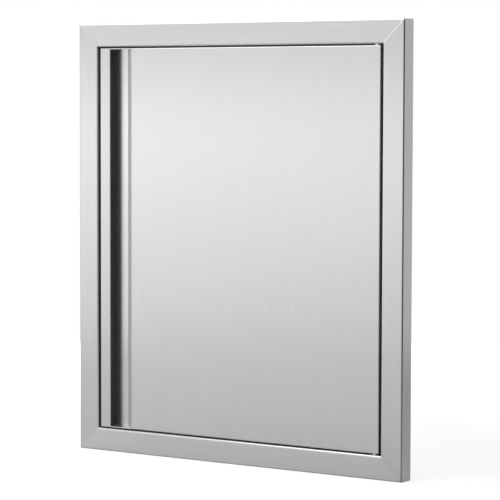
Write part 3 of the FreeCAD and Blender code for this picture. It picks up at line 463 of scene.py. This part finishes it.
def turned_tree():
    """Piece turned about Y from a profile of edges in X and Y, set on each loose point, with a knurled band."""
    tree, given = new_tree("turned_piece", {
        "Sides": 96, "Ridges": 24, "Knurl Depth": 0.0, "Knurl Start": 0.0, "Knurl End": 0.001})
    joined = add_node(tree, "GeometryNodeInputMeshVertexNeighbors").outputs["Vertex Count"]
    split = add_node(tree, "GeometryNodeSeparateGeometry", {"Geometry": given["Geometry"], "Selection": joined},
                     domain="POINT").outputs
    count = add_node(tree, "GeometryNodeAttributeDomainSize", {0: split[0]},
                     component="MESH").outputs["Point Count"]
    rows = plus(tree, given["Sides"], 1.0)
    grid = add_node(tree, "GeometryNodeMeshGrid", {"Vertices X": count, "Vertices Y": rows}).outputs["Mesh"]
    index = add_node(tree, "GeometryNodeInputIndex").outputs[0]
    column = maths(tree, "FLOOR", maths(tree, "DIVIDE", plus(tree, index, 0.5), rows))
    row = maths(tree, "SUBTRACT", index, times(tree, column, rows))
    place = add_node(tree, "GeometryNodeInputPosition").outputs[0]
    point = add_node(tree, "GeometryNodeSampleIndex", {"Geometry": split[0], "Value": place, "Index": column},
                     data_type="FLOAT_VECTOR", domain="POINT").outputs[0]
    at = xyz(tree, point)
    turn = times(tree, maths(tree, "DIVIDE", row, given["Sides"]), math.tau)
    above = maths(tree, "GREATER_THAN", at["Y"], given["Knurl Start"])
    band = times(tree, above, maths(tree, "LESS_THAN", at["Y"], given["Knurl End"]))
    ridge = maths(tree, "MULTIPLY_ADD", maths(tree, "COSINE", times(tree, turn, given["Ridges"])), 0.5, -0.5)
    radius = maths(tree, "MULTIPLY_ADD", times(tree, ridge, given["Knurl Depth"]), band, at["X"])
    shell = moved(tree, grid, point_at(tree, times(tree, radius, maths(tree, "COSINE", turn)), at["Y"],
                                       times(tree, radius, maths(tree, "SINE", turn))))
    whole = add_node(tree, "GeometryNodeMergeByDistance", {"Geometry": shell, "Distance": 0.000001}).outputs[0]
    finish_tree(tree, set_on(tree, split[1], whole), given["Finish"], math.radians(28))
    return tree


def weld_tree():
    """Weld bead along each edge: a row of overlapping ripples of slightly uneven width."""
    tree, given = new_tree("weld_beads", {
        "Bead Radius": 0.001, "Ripple Pitch": 0.0012, "Ripple Depth": 0.2, "Unevenness": 0.3})
    path = add_node(tree, "GeometryNodeMeshToCurve", {0: given["Geometry"]}).outputs[0]
    step = maths(tree, "DIVIDE", given["Ripple Pitch"], 5.0)
    fine = add_node(tree, "GeometryNodeResampleCurve", {"Curve": path, "Length": step}, mode="LENGTH").outputs[0]
    along = add_node(tree, "GeometryNodeSplineParameter").outputs
    phase = maths(tree, "FRACT", maths(tree, "DIVIDE", along["Length"], given["Ripple Pitch"]))
    ripple = times(tree, maths(tree, "POWER", phase, 2.0), given["Ripple Depth"])
    place = add_node(tree, "GeometryNodeInputPosition").outputs[0]
    uneven = add_node(tree, "ShaderNodeTexNoise", {"Vector": place, "Scale": 350.0}).outputs["Fac"]
    uneven = times(tree, maths(tree, "SUBTRACT", uneven, 0.5), given["Unevenness"])
    ends = times(tree, eased(tree, along["Factor"], 0.0, 0.05, 0.35, 1.0),
                 eased(tree, along["Factor"], 0.95, 1.0, 1.0, 0.35))
    width = times(tree, plus(tree, maths(tree, "SUBTRACT", uneven, ripple), 1.0), ends)
    ring = add_node(tree, "GeometryNodeCurvePrimitiveCircle", {"Resolution": 12, "Radius": given["Bead Radius"]})
    bead = add_node(tree, "GeometryNodeCurveToMesh", {
        "Curve": fine, "Profile Curve": ring.outputs[0], "Scale": width, "Fill Caps": True})
    finish_tree(tree, bead.outputs[0], given["Finish"], math.radians(60))
    return tree


def grow(name, tree, points, body, slot, finish, replaced, edges=(), **sizes):
    """Plain mesh that a tree makes from points, riding on a body in place of CAD nodes."""
    seeds = bpy.data.meshes.new(name + "_seeds")
    seeds.from_pydata(points, edges, [])
    piece = bpy.data.objects.new(name, seeds)
    bpy.context.scene.collection.objects.link(piece)
    modifier = piece.modifiers.new("grow", "NODES")
    modifier.node_group = tree
    given = {label.replace("_", " ").title(): value for label, value in sizes.items()}
    given["Finish"] = finish
    for socket in tree.interface.items_tree:
        if socket.in_out == "INPUT" and socket.name in given:
            modifier[socket.identifier] = given.pop(socket.name)
    if given:
        raise ValueError(f"{name}: the tree has no input {sorted(given)}")
    depsgraph = bpy.context.evaluated_depsgraph_get()
    mesh = bpy.data.meshes.new_from_object(piece.evaluated_get(depsgraph), depsgraph=depsgraph)
    piece.modifiers.clear()
    piece.data = mesh
    mesh.name = name
    bpy.data.meshes.remove(seeds)
    if not mesh.polygons:
        raise ValueError(f"{name}: nothing was made")
    mesh.materials.clear()
    mesh.materials.append(finish)
    mesh.polygons.foreach_set("material_index", [0] * len(mesh.polygons))
    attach(piece, body)
    if replaced:
        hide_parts(*replaced)
    return piece


# ---------------- settings

class ScrewSizes(bpy.types.PropertyGroup):
    """Sizes of the pan head screws"""
    head_radius: FloatProperty(
        name="Head radius", description="Radius of the pan head", unit="LENGTH", min=0.0005, default=0.003)
    head_height: FloatProperty(
        name="Head height", description="Height of the pan head above its seat",
        unit="LENGTH", min=0.0002, default=0.0016)
    head_squareness: FloatProperty(
        name="Head squareness", description="2 is a dome, more is a flatter pan", min=1, max=10, default=3.2)
    shank_radius: FloatProperty(
        name="Shank radius", description="Outer radius of the thread", unit="LENGTH", min=0.0002, default=0.0015)
    shank_length: FloatProperty(
        name="Shank length", description="Length of the shank below the seat",
        unit="LENGTH", min=0.0005, default=0.004)
    thread_pitch: FloatProperty(
        name="Thread pitch", description="Distance between two turns of the thread",
        unit="LENGTH", min=0.0001, default=0.0007)
    thread_depth: FloatProperty(
        name="Thread depth", description="Depth of the thread", unit="LENGTH", min=0, default=0.0002)
    recess_length: FloatProperty(
        name="Recess length", description="Length of the cross recess", unit="LENGTH", min=0.0002, default=0.0032)
    recess_width: FloatProperty(
        name="Recess width", description="Width of an arm of the cross recess",
        unit="LENGTH", min=0.0001, default=0.0009)
    recess_depth: FloatProperty(
        name="Recess depth", description="Depth of the cross recess", unit="LENGTH", min=0.0001, default=0.0009)
    seed: IntProperty(
        name="Seed", description="Chooses how far each screw is turned", default=7)


class SpringSizes(bpy.types.PropertyGroup):
    """Sizes of the spring under the upper hinge pin"""
    wire_radius: FloatProperty(
        name="Wire radius", description="Radius of the spring wire", unit="LENGTH", min=0.0001, default=0.00045)
    turns: FloatProperty(
        name="Turns", description="Turns of wire, closed ones included", min=3, default=7)
    closed_turns: FloatProperty(
        name="Closed turns", description="Turns that lie close at each end", min=0.1, max=1.4, default=1)


class KnobSizes(bpy.types.PropertyGroup):
    """Knurl of the release knob"""
    ridges: IntProperty(
        name="Ridges", description="Ridges round the knob's rim", min=4, default=26)
    knurl_depth: FloatProperty(
        name="Knurl depth", description="Depth between two ridges", unit="LENGTH", min=0, default=0.0003)


class SteelFinish(bpy.types.PropertyGroup):
    """Colours and grain of the brushed sheet"""
    # The trim members, door skin and pull edge are one brushed steel; these colours differ to match how brightly
    # each is lit, which is painted light and shade.
    left_stile_colour: FloatVectorProperty(
        name="Left stile colour", description="Colour of the trim's left member",
        subtype="COLOR", min=0, max=1, default=(0.705, 0.705, 0.705))
    right_stile_colour: FloatVectorProperty(
        name="Right stile colour", description="Colour of the trim's right member",
        subtype="COLOR", min=0, max=1, default=(0.73, 0.73, 0.73))
    rail_colour: FloatVectorProperty(
        name="Rail colour", description="Colour of the trim's top and bottom members",
        subtype="COLOR", min=0, max=1, default=(0.68, 0.68, 0.68))
    door_colour: FloatVectorProperty(
        name="Door colour", description="Colour of the door skin",
        subtype="COLOR", min=0, max=1, default=(0.75, 0.75, 0.75))
    edge_colour: FloatVectorProperty(
        name="Pull edge colour", description="Colour of the door's folded left edge",
        subtype="COLOR", min=0, max=1, default=(0.7, 0.7, 0.7))
    liner_colour: FloatVectorProperty(
        name="Liner colour", description="Colour of the sheet on the door's back",
        subtype="COLOR", min=0, max=1, default=(0.64, 0.64, 0.64))
    inner_colour: FloatVectorProperty(
        name="Inner steel colour", description="Colour of folded and machined inner pieces",
        subtype="COLOR", min=0, max=1, default=(0.56, 0.57, 0.58))
    roughness: FloatProperty(
        name="Roughness", description="Mean roughness of the brushed faces",
        subtype="FACTOR", min=0, max=1, default=0.29)
    draw_out: FloatProperty(
        name="Gloss draw-out", description="How far the gloss is drawn out across the grain",
        subtype="FACTOR", min=0, max=1, default=0.7)
    line_pitch: FloatProperty(
        name="Line pitch", description="Width of one brushed line", unit="LENGTH", min=0.00005, default=0.0006)
    line_length: FloatProperty(
        name="Line length", description="Length of one brushed line", unit="LENGTH", min=0.001, default=0.06)
    line_depth: FloatProperty(
        name="Line depth", description="Depth of the brushed lines", unit="LENGTH", min=0, default=0.000004)
    line_contrast: FloatProperty(
        name="Line contrast", description="Difference in tone between brushed lines", min=0, max=1, default=0.22)
    band_pitch: FloatProperty(
        name="Band pitch", description="Width of the soft bands in the grain",
        unit="LENGTH", min=0.0005, default=0.0022)
    band_length: FloatProperty(
        name="Band length", description="Length of the soft bands in the grain",
        unit="LENGTH", min=0.01, default=0.12)
    band_contrast: FloatProperty(
        name="Band contrast", description="Difference in tone between soft bands", min=0, max=1, default=0.06)
    # painted shade on the dull side inside the opening and the pull's channel
    back_tone: FloatProperty(
        name="Dull side tone", description="Brightness of the sheet's dull inner side against its face",
        subtype="FACTOR", min=0, max=1, default=0.5)
    # painted shade on the trim's outer bends
    bend_tone: FloatProperty(
        name="Bend tone", description="Brightness of the trim's outer bends against its face",
        subtype="FACTOR", min=0, max=1, default=0.45)
    mitre_width: FloatProperty(
        name="Mitre seam width", description="Half width of the seam ground on a mitre",
        unit="LENGTH", min=0.0001, default=0.0009)
    # painted highlight: how much the top right seam is brightened
    mitre_polish: FloatProperty(
        name="Mitre polish", description="How much brighter the best polished seam is", min=0, max=1, default=0.35)


class WeldSizes(bpy.types.PropertyGroup):
    """Sizes of the weld beads behind the trim"""
    bead_radius: FloatProperty(
        name="Bead radius", description="Radius of a weld bead", unit="LENGTH", min=0.0002, default=0.0011)
    ripple_pitch: FloatProperty(
        name="Ripple pitch", description="Distance between two ripples of a bead",
        unit="LENGTH", min=0.0002, default=0.0012)


class Studio(bpy.types.PropertyGroup):
    """Camera, floor and light"""
    camera_place: FloatVectorProperty(
        name="Camera place", description="Where the camera stands",
        subtype="TRANSLATION", unit="LENGTH", default=(1.7352, -2.6141, 0.2004))
    camera_target: FloatVectorProperty(
        name="Camera target", description="Point in the middle of the picture",
        subtype="TRANSLATION", unit="LENGTH", default=(0.0268, -0.0254, -0.00668))
    camera_roll: FloatProperty(
        name="Camera roll", description="Turn of the camera about its line of sight",
        subtype="ANGLE", default=math.radians(0.149))
    lens: FloatProperty(
        name="Lens", description="Focal length on a 36 mm sensor, in millimetres", min=10, default=163.73)
    floor_radius: FloatProperty(
        name="Floor radius", description="Radius of the pale floor", unit="LENGTH", min=0.5, default=1.6)
    floor_colour: FloatVectorProperty(
        name="Floor colour", description="Colour of the pale floor",
        subtype="COLOR", min=0, max=1, default=(0.56, 0.56, 0.56))
    lamp_power: FloatProperty(
        name="Lamp power", description="Power of the soft overhead lamp", unit="POWER", min=0, default=4.0)


# ---------------- operators

class ACCESSDOOR_OT_trim_frame(bpy.types.Operator):
    """Finish the four mitred trim members"""
    bl_idname = "accessdoor.trim_frame"
    bl_label = "Trim Frame"

    def execute(self, context):
        steel = context.scene.door_steel
        dress(brushed_steel("trim_rail_steel", steel.rail_colour[:], 0, steel, mitred=True, back=shaded_inside_opening),
              "top_rail", "bottom_rail")
        for node, colour in (("left_stile", steel.left_stile_colour), ("right_stile", steel.right_stile_colour)):
            dress(brushed_steel(node + "_steel", colour[:], 2, steel, mitred=True, back=shaded_inside_opening,
                                bend_shade=shaded_outer_bend), node)
        dress(brushed_steel("gusset_steel", steel.inner_colour[:], 0, steel, spread=1.2),
              "corner_gussets", "upper_hinge_plate", "lower_hinge_plate")
        return {"FINISHED"}


class ACCESSDOOR_OT_door_leaf(bpy.types.Operator):
    """Finish the folded sheets of the door"""
    bl_idname = "accessdoor.door_leaf"
    bl_label = "Door Leaf"

    def execute(self, context):
        steel = context.scene.door_steel
        dress(brushed_steel("door_skin_steel", steel.door_colour[:], 2, steel, pressed=pressed_pull), "door_skin")
        dress(brushed_steel("pull_edge_steel", steel.edge_colour[:], 2, steel, back=shaded_strip_back), "pull_edge")
        dress(brushed_steel("pull_cap_steel", steel.door_colour[:], 0, steel), "pull_cap_top", "pull_cap_bottom")
        dress(brushed_steel("door_liner_steel", steel.liner_colour[:], 2, steel, spread=1.15),
              "door_liner", "door_stiffener")
        return {"FINISHED"}


class ACCESSDOOR_OT_hinge_pieces(bpy.types.Operator):
    """Finish the hinge pins, bushes and blocks"""
    bl_idname = "accessdoor.hinge_pieces"
    bl_label = "Hinge Pieces"

    def execute(self, context):
        steel = context.scene.door_steel
        dress(plain_metal("polished_pin_steel", (0.93, 0.93, 0.92), 0.12, 0.0004, 0.000001),
              "upper_hinge_pin", "lower_hinge_pin")
        dress(plain_metal("turned_knob_steel", (0.8, 0.8, 0.79), 0.22, 0.0004, 0.000004), "release_knob")
        finish_knob(context.scene.knob_sizes)
        dress(plain_metal("machined_block_steel", steel.inner_colour[:], 0.38, 0.0006, 0.000012),
              "upper_pin_housing", "lower_hinge_block", "spring_plug")
        dress(moulded("natural_nylon", (0.86, 0.86, 0.82), 0.42, 0.0009, 0.00001, glow=0.2),
              "upper_hinge_bush", "lower_hinge_bush")
        wire = plain_metal("spring_wire_steel", (0.62, 0.62, 0.62), 0.3, 0.0003, 0.000003)
        dress(wire, "pin_spring")
        coil_pin_spring(context.scene.spring_sizes, wire)
        return {"FINISHED"}


def finish_knob(sizes):
    """Release knob with a dished face and a knurled rim."""
    low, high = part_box("release_knob")
    middle = (low + high) / 2
    knob_profile = [
        (0, 0), (1.5, 0), (1.5, 19.4), (3.2, 19.4), (3.45, 19.6), (3.45, 20.4), (3.65, 21.0), (4.2, 21.7),
        (4.7, 22.1), (4.92, 22.35), (5.0, 22.6), (5.0, 22.7), (5.0, 24.5), (5.0, 24.6), (4.92, 24.9),
        (4.7, 25.2), (4.35, 25.38), (4.1, 25.4), (3.85, 25.3), (3.2, 24.95), (0, 24.7)]
    points, edges = profile_seeds(knob_profile, [(middle.x, low.y, middle.z)])
    sides_per_ridge = 6
    grow("knurled_release_knob", turned_tree(), points, "upper_pin", "pin_steel",
         nodes["release_knob"].data.materials[0], ["release_knob"], edges, sides=sizes.ridges * sides_per_ridge,
         ridges=sizes.ridges, knurl_depth=sizes.knurl_depth, knurl_start=0.02265, knurl_end=0.02455)


def coil_pin_spring(sizes, wire):
    """Spring that pushes the upper pin up; the real one shortens when the knob is drawn down, this one keeps one
    length.
    """
    low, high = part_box("pin_spring")
    middle = (low + high) / 2
    foot = Vector((middle.x, middle.y, low.z))
    spring = grow("upper_pin_spring", coil_spring_tree(), [foot], "door", "spring_steel", wire, ["pin_spring"],
                  wire_radius=sizes.wire_radius, coil_radius=high.x - middle.x - sizes.wire_radius,
                  turns=sizes.turns, closed_turns=sizes.closed_turns, height=high.z - low.z)
    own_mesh(spring)


def profile_seeds(profile, places):
    """Points and edges of a profile given in millimetres, with a loose point for each place."""
    line = [(radius / 1000, along / 1000, 0) for radius, along in profile]
    return line + [tuple(place) for place in places], [(i, i + 1) for i in range(len(line) - 1)]


class ACCESSDOOR_OT_catch(bpy.types.Operator):
    """Finish the magnetic catch, its strike and the bumpers"""
    bl_idname = "accessdoor.catch"
    bl_label = "Magnetic Catch"

    def execute(self, context):
        steel = context.scene.door_steel
        dress(moulded("catch_black_plastic", (0.05, 0.05, 0.055), 0.45, 0.0007, 0.00003), "catch_housing")
        dress(plain_metal("sintered_ferrite", (0.1, 0.1, 0.105), 0.6, 0.0003, 0.00002, metallic=0.3),
              "catch_magnet")
        dress(plain_metal("pole_plate_steel", steel.inner_colour[:], 0.34, 0.0005, 0.00001),
              "catch_pole_plates", "strike_plate")
        rubber = moulded("buffer_rubber", (0.035, 0.035, 0.035), 0.72, 0.0005, 0.00004)
        dress(rubber, "door_bumpers")
        mould_bumpers(rubber)
        return {"FINISHED"}


def mould_bumpers(rubber):
    """Ribbed rubber buffers whose stems go through the stop flange."""
    low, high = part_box("door_bumpers")
    radius = 0.005
    places = [((low.x + high.x) / 2, low.y, up) for up in (low.z + radius, high.z - radius)]
    buffer_profile = [
        (0, 0), (2.4, 0), (3.4, 0.1), (4.3, 0.5), (4.8, 1.1), (5, 1.8), (5, 4.2), (4.85, 4.5), (4.6, 4.7),
        (4.6, 5), (4.85, 5.2), (5, 5.5), (5, 8.2), (4.85, 8.5), (4.6, 8.7), (4.6, 9), (4.85, 9.2), (5, 9.5),
        (5, 13.3), (2.4, 13.3), (2.4, 15.4), (2.1, 16.2), (1.5, 16.9), (0, 17)]
    points, edges = profile_seeds(buffer_profile, places)
    grow("ribbed_door_bumpers", turned_tree(), points, "frame", "bumper_rubber", rubber, ["door_bumpers"], edges,
         sides=64)


class ACCESSDOOR_OT_welds(bpy.types.Operator):
    """Make the stitch welds of gussets and hinge plates, and the seams in the trim's outer corners"""
    bl_idname = "accessdoor.welds"
    bl_label = "Welds"

    def execute(self, context):
        sizes = context.scene.weld_sizes
        steel = plain_metal("weld_bead_steel", (0.5, 0.49, 0.47), 0.42, 0.0004, 0.00002)
        rise = 0.3 * sizes.bead_radius  # of a bead's middle line above the sheet
        low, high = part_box("corner_gussets")
        side, end, floor = high.x, high.z, low.y + rise
        arm_width, arm_length = 0.018, 0.0588
        across, along = (0.0155, 0.0025), (0.052, 0.032)  # ends of the beads, from the gusset's corner
        stitches = [
            [(side - arm_length, floor, end - at) for at in across],
            [(side - at, floor, end - arm_width) for at in along],
            [(side - at, floor, end - arm_length) for at in across],
            [(side - arm_width, floor, end - at) for at in along]]
        corner = (trim_high.x - trim_sheet - rise, trim_high.z - trim_sheet - rise)
        stitches.append([(corner[0], at, corner[1]) for at in (floor + 0.001, -0.0015)])
        stitches = [[(sx * x, y, sz * z) for x, y, z in stitch]
                    for stitch in stitches for sx in (1, -1) for sz in (1, -1)]
        stitch_length = 0.01
        for node, inner, up in (("upper_hinge_plate", 0, 1), ("lower_hinge_plate", 1, -1)):
            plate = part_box(node)
            seat = plate[inner].z + up * rise
            for start in (0.003, 0.016):
                x = plate[0].x + start
                stitches.append([(x, plate[1].y, seat), (x + stitch_length, plate[1].y, seat)])
        points = [point for stitch in stitches for point in stitch]
        edges = [(i, i + 1) for i in range(0, len(points), 2)]
        grow("trim_weld_beads", weld_tree(), points, "frame", "trim_steel", steel, [], edges,
             bead_radius=sizes.bead_radius, ripple_pitch=sizes.ripple_pitch)
        return {"FINISHED"}


class ACCESSDOOR_OT_screws(bpy.types.Operator):
    """Make the pan head screws of the liner, the strike and the catch"""
    bl_idname = "accessdoor.screws"
    bl_label = "Screws"

    def execute(self, context):
        sizes = context.scene.screw_sizes
        steel = plain_metal("bright_screw_steel", (0.76, 0.76, 0.75), 0.28, 0.0004, 0.000006)
        dress(steel, "catch_screws", "strike_screws", "liner_screws")
        tree = pan_screw_tree()
        given = {name: getattr(sizes, name) for name in sizes.__annotations__}
        for name, node, body, heading in (("liner_pan_screws", "liner_screws", "door", 1.0),
                                          ("strike_pan_screws", "strike_screws", "door", 1.0),
                                          ("catch_pan_screws", "catch_screws", "frame", -1.0)):
            low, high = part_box(node)
            seat = high.y - sizes.head_height if heading > 0 else low.y + sizes.head_height
            side, end = high.x - sizes.head_radius, high.z - sizes.head_radius
            if node == "liner_screws":
                upper_row, middle_row, end_column = 0.2103, 0.07, 0.11
                quarter = ((side, upper_row), (side, middle_row), (end_column, end))
                spots = [(sx * x, sz * z) for x, z in quarter for sx in (1, -1) for sz in (1, -1)]
            else:
                spots = [(side, end), (side, -end)]
            grow(name, tree, [(x, seat, z) for x, z in spots], body, "screw_steel", steel, [node],
                 heading=(0.0, heading, 0.0), **given)
        return {"FINISHED"}


class ACCESSDOOR_OT_studio(bpy.types.Operator):
    """Make the floor, the light and the camera"""
    bl_idname = "accessdoor.studio"
    bl_label = "Studio"

    def execute(self, context):
        studio = context.scene.door_studio
        make_floor(studio)
        make_tent(studio)
        make_backdrop(context.scene)
        make_lamps(studio)
        make_camera(context.scene, studio)
        context.scene.view_settings.view_transform = "Standard"
        return {"FINISHED"}


def stage_piece(name, form, colour):
    """Part of the studio made from a bmesh, with the node tree of its material."""
    mesh = bpy.data.meshes.new(name)
    form.to_mesh(mesh)
    form.free()
    piece = bpy.data.objects.new(name, mesh)
    bpy.context.scene.collection.objects.link(piece)
    material = new_material(name, colour)
    mesh.materials.append(material)
    return piece, material.node_tree


def make_floor(studio):
    """Round pale floor under the door, white where the camera sees it and grey in the steel."""
    form = bmesh.new()
    bmesh.ops.create_circle(form, cap_ends=True, segments=96, radius=studio.floor_radius,
                            matrix=Matrix.Translation((0, 0, cad_box[0].z)))
    colour = studio.floor_colour[:]
    tree = stage_piece("studio_floor", form, colour)[1]
    place = own_place(tree)
    # painted shade: the floor's colour is darkened behind the door's right
    painted_shade_behind = eased(tree, dot(tree, place, (0.55, 0.83, 0)), 0.0, 0.45, 1.0, 0.76)
    paint = add_node(tree, "ShaderNodeBsdfDiffuse", {"Color": shaded(tree, colour, painted_shade_behind)}).outputs[0]
    seen = add_node(tree, "ShaderNodeLightPath").outputs["Is Camera Ray"]
    reach = add_node(tree, "ShaderNodeVectorMath", {0: place}, operation="LENGTH").outputs["Value"]
    fade = eased(tree, reach, 0.5, studio.floor_radius * 0.85, 0.55, 1.0)
    lift = add_node(tree, "ShaderNodeEmission", {"Color": (1, 1, 1, 1), "Strength": times(tree, seen, fade)})
    finish_material(tree, add_node(tree, "ShaderNodeAddShader", {0: paint, 1: lift.outputs[0]}))


def off_bearing(tree, bearing, middle, start, end, low, high):
    """Smooth step from low to high as a bearing leaves a middle one, from start to end degrees away."""
    away = maths(tree, "ABSOLUTE", maths(tree, "SUBTRACT", bearing, math.radians(middle)))
    return eased(tree, away, math.radians(start), math.radians(end), low, high)


def blended(tree, share, first, second):
    """First value where the share is 0, second where it is 1."""
    return add_node(tree, "ShaderNodeMix", {"Factor": share, "A": first, "B": second},
                    data_type="FLOAT").outputs[0]


def make_tent(studio):
    """Light tent over the floor, unseen by the camera: bright on the door's left and above, dim on its right."""
    form = bmesh.new()
    bmesh.ops.create_uvsphere(form, u_segments=96, v_segments=64, radius=studio.floor_radius)
    bmesh.ops.bisect_plane(form, geom=form.verts[:] + form.edges[:] + form.faces[:],
                           plane_co=(0, 0, cad_box[0].z), plane_no=(0, 0, -1), clear_outer=True)
    tent, tree = stage_piece("studio_tent", form, (1.0, 1.0, 1.0))
    tent.visible_camera = False
    parts = xyz(tree, own_place(tree))
    # the bearing is 0 in front of the door and 90 degrees at its right
    bearing = maths(tree, "ARCTAN2", parts["X"], times(tree, parts["Y"], -1.0))
    level = 1.0
    for middle, dim, full, least in ((75, 20, 52, 0.05), (150, 25, 70, 0.50)):
        level = times(tree, off_bearing(tree, bearing, middle, dim, full, least, 1.0), level)
    light_at_height = ((-0.31, 0.88), (-0.22, 0.91), (-0.115, 0.98), (-0.01, 1.07), (0.09, 1.20), (0.17, 1.25),
                       (0.30, 0.86), (0.42, 0.76), (0.6, 0.72), (0.8, 0.8))
    lowest, highest = light_at_height[0][0], light_at_height[-1][0]
    share = add_node(tree, "ShaderNodeMapRange", {
        "Value": parts["Z"], "From Min": lowest, "From Max": highest}).outputs["Result"]
    ramp = add_node(tree, "ShaderNodeValToRGB", {"Fac": share})
    stops = ramp.color_ramp.elements
    stops.remove(stops[0])
    white = 1.5  # light that the ramp's white stands for
    for height, light in light_at_height:
        stop = stops[-1] if height == highest else stops.new((height - lowest) / (highest - lowest))
        stop.color = (light / white,) * 3 + (1.0,)
    left = eased(tree, bearing, math.radians(-70), math.radians(0), 1.12, 0.86)
    light_behind, light_above = 1.2, 1.35
    side = blended(tree, off_bearing(tree, bearing, 150, 30, 60, 1.0, 0.0),
                   times(tree, ramp.outputs[0], left, white), light_behind)
    glow = blended(tree, eased(tree, parts["Z"], 0.6, 1.3), times(tree, side, level), light_above)
    finish_material(tree, add_node(tree, "ShaderNodeEmission", {"Color": (1, 1, 1, 1), "Strength": glow}))


def make_backdrop(scene):
    """Plain white all round for the camera."""
    world = bpy.data.worlds.new("studio_backdrop")
    world.use_nodes = True
    world.node_tree.nodes["Background"].inputs["Color"].default_value = (1, 1, 1, 1)
    scene.world = world


def make_lamps(studio):
    """One large soft lamp above and in front."""
    data = bpy.data.lights.new("soft_lamp", "AREA")
    data.shape = "RECTANGLE"
    data.size, data.size_y = 0.9, 0.7
    data.energy = studio.lamp_power
    lamp = bpy.data.objects.new("soft_lamp", data)
    lamp.location = (-0.5, -0.6, 1.15)
    lamp.rotation_euler = (-Vector(lamp.location)).to_track_quat("-Z", "Y").to_euler()
    bpy.context.scene.collection.objects.link(lamp)


def make_camera(scene, studio):
    """Camera at the photograph's viewing angle."""
    data = bpy.data.cameras.new("photo_camera")
    data.sensor_width = 36.0
    data.lens = studio.lens
    data.clip_start, data.clip_end = 0.05, 50.0
    camera = bpy.data.objects.new("photo_camera", data)
    place, target = Vector(studio.camera_place), Vector(studio.camera_target)
    turn = (target - place).to_track_quat("-Z", "Y").to_matrix().to_4x4()
    camera.matrix_world = Matrix.Translation(place) @ turn @ Matrix.Rotation(studio.camera_roll, 4, "Z")
    scene.collection.objects.link(camera)
    scene.camera = camera


class ACCESSDOOR_PT_panel(bpy.types.Panel):
    """Lists the steps and the sizes of the access door"""
    bl_idname = "ACCESSDOOR_PT_panel"
    bl_label = "Access Door"
    bl_space_type = "VIEW_3D"
    bl_region_type = "UI"
    bl_category = "Access Door"

    def draw(self, context):
        layout = self.layout
        for step in steps:
            layout.operator(step.bl_idname)
        scene = context.scene
        for group in (getattr(scene, name) for name in groups):
            box = layout.box()
            for name in group.__annotations__:
                box.prop(group, name)


steps = (ACCESSDOOR_OT_trim_frame, ACCESSDOOR_OT_door_leaf, ACCESSDOOR_OT_hinge_pieces, ACCESSDOOR_OT_catch,
         ACCESSDOOR_OT_screws, ACCESSDOOR_OT_welds, ACCESSDOOR_OT_studio)
groups = {"door_steel": SteelFinish, "screw_sizes": ScrewSizes, "spring_sizes": SpringSizes,
          "knob_sizes": KnobSizes, "weld_sizes": WeldSizes, "door_studio": Studio}
classes = (*groups.values(), *steps, ACCESSDOOR_PT_panel)


def register():
    for cls in classes:
        bpy.utils.register_class(cls)
    for name, group in groups.items():
        setattr(bpy.types.Scene, name, PointerProperty(type=group))


def unregister():
    for name in groups:
        delattr(bpy.types.Scene, name)
    for cls in reversed(classes):
        bpy.utils.unregister_class(cls)


def main():
    register()
    bpy.ops.accessdoor.trim_frame()
    bpy.ops.accessdoor.door_leaf()
    bpy.ops.accessdoor.hinge_pieces()
    bpy.ops.accessdoor.catch()
    bpy.ops.accessdoor.screws()
    bpy.ops.accessdoor.welds()
    bpy.ops.accessdoor.studio()


if __name__ == "__main__":
    main()
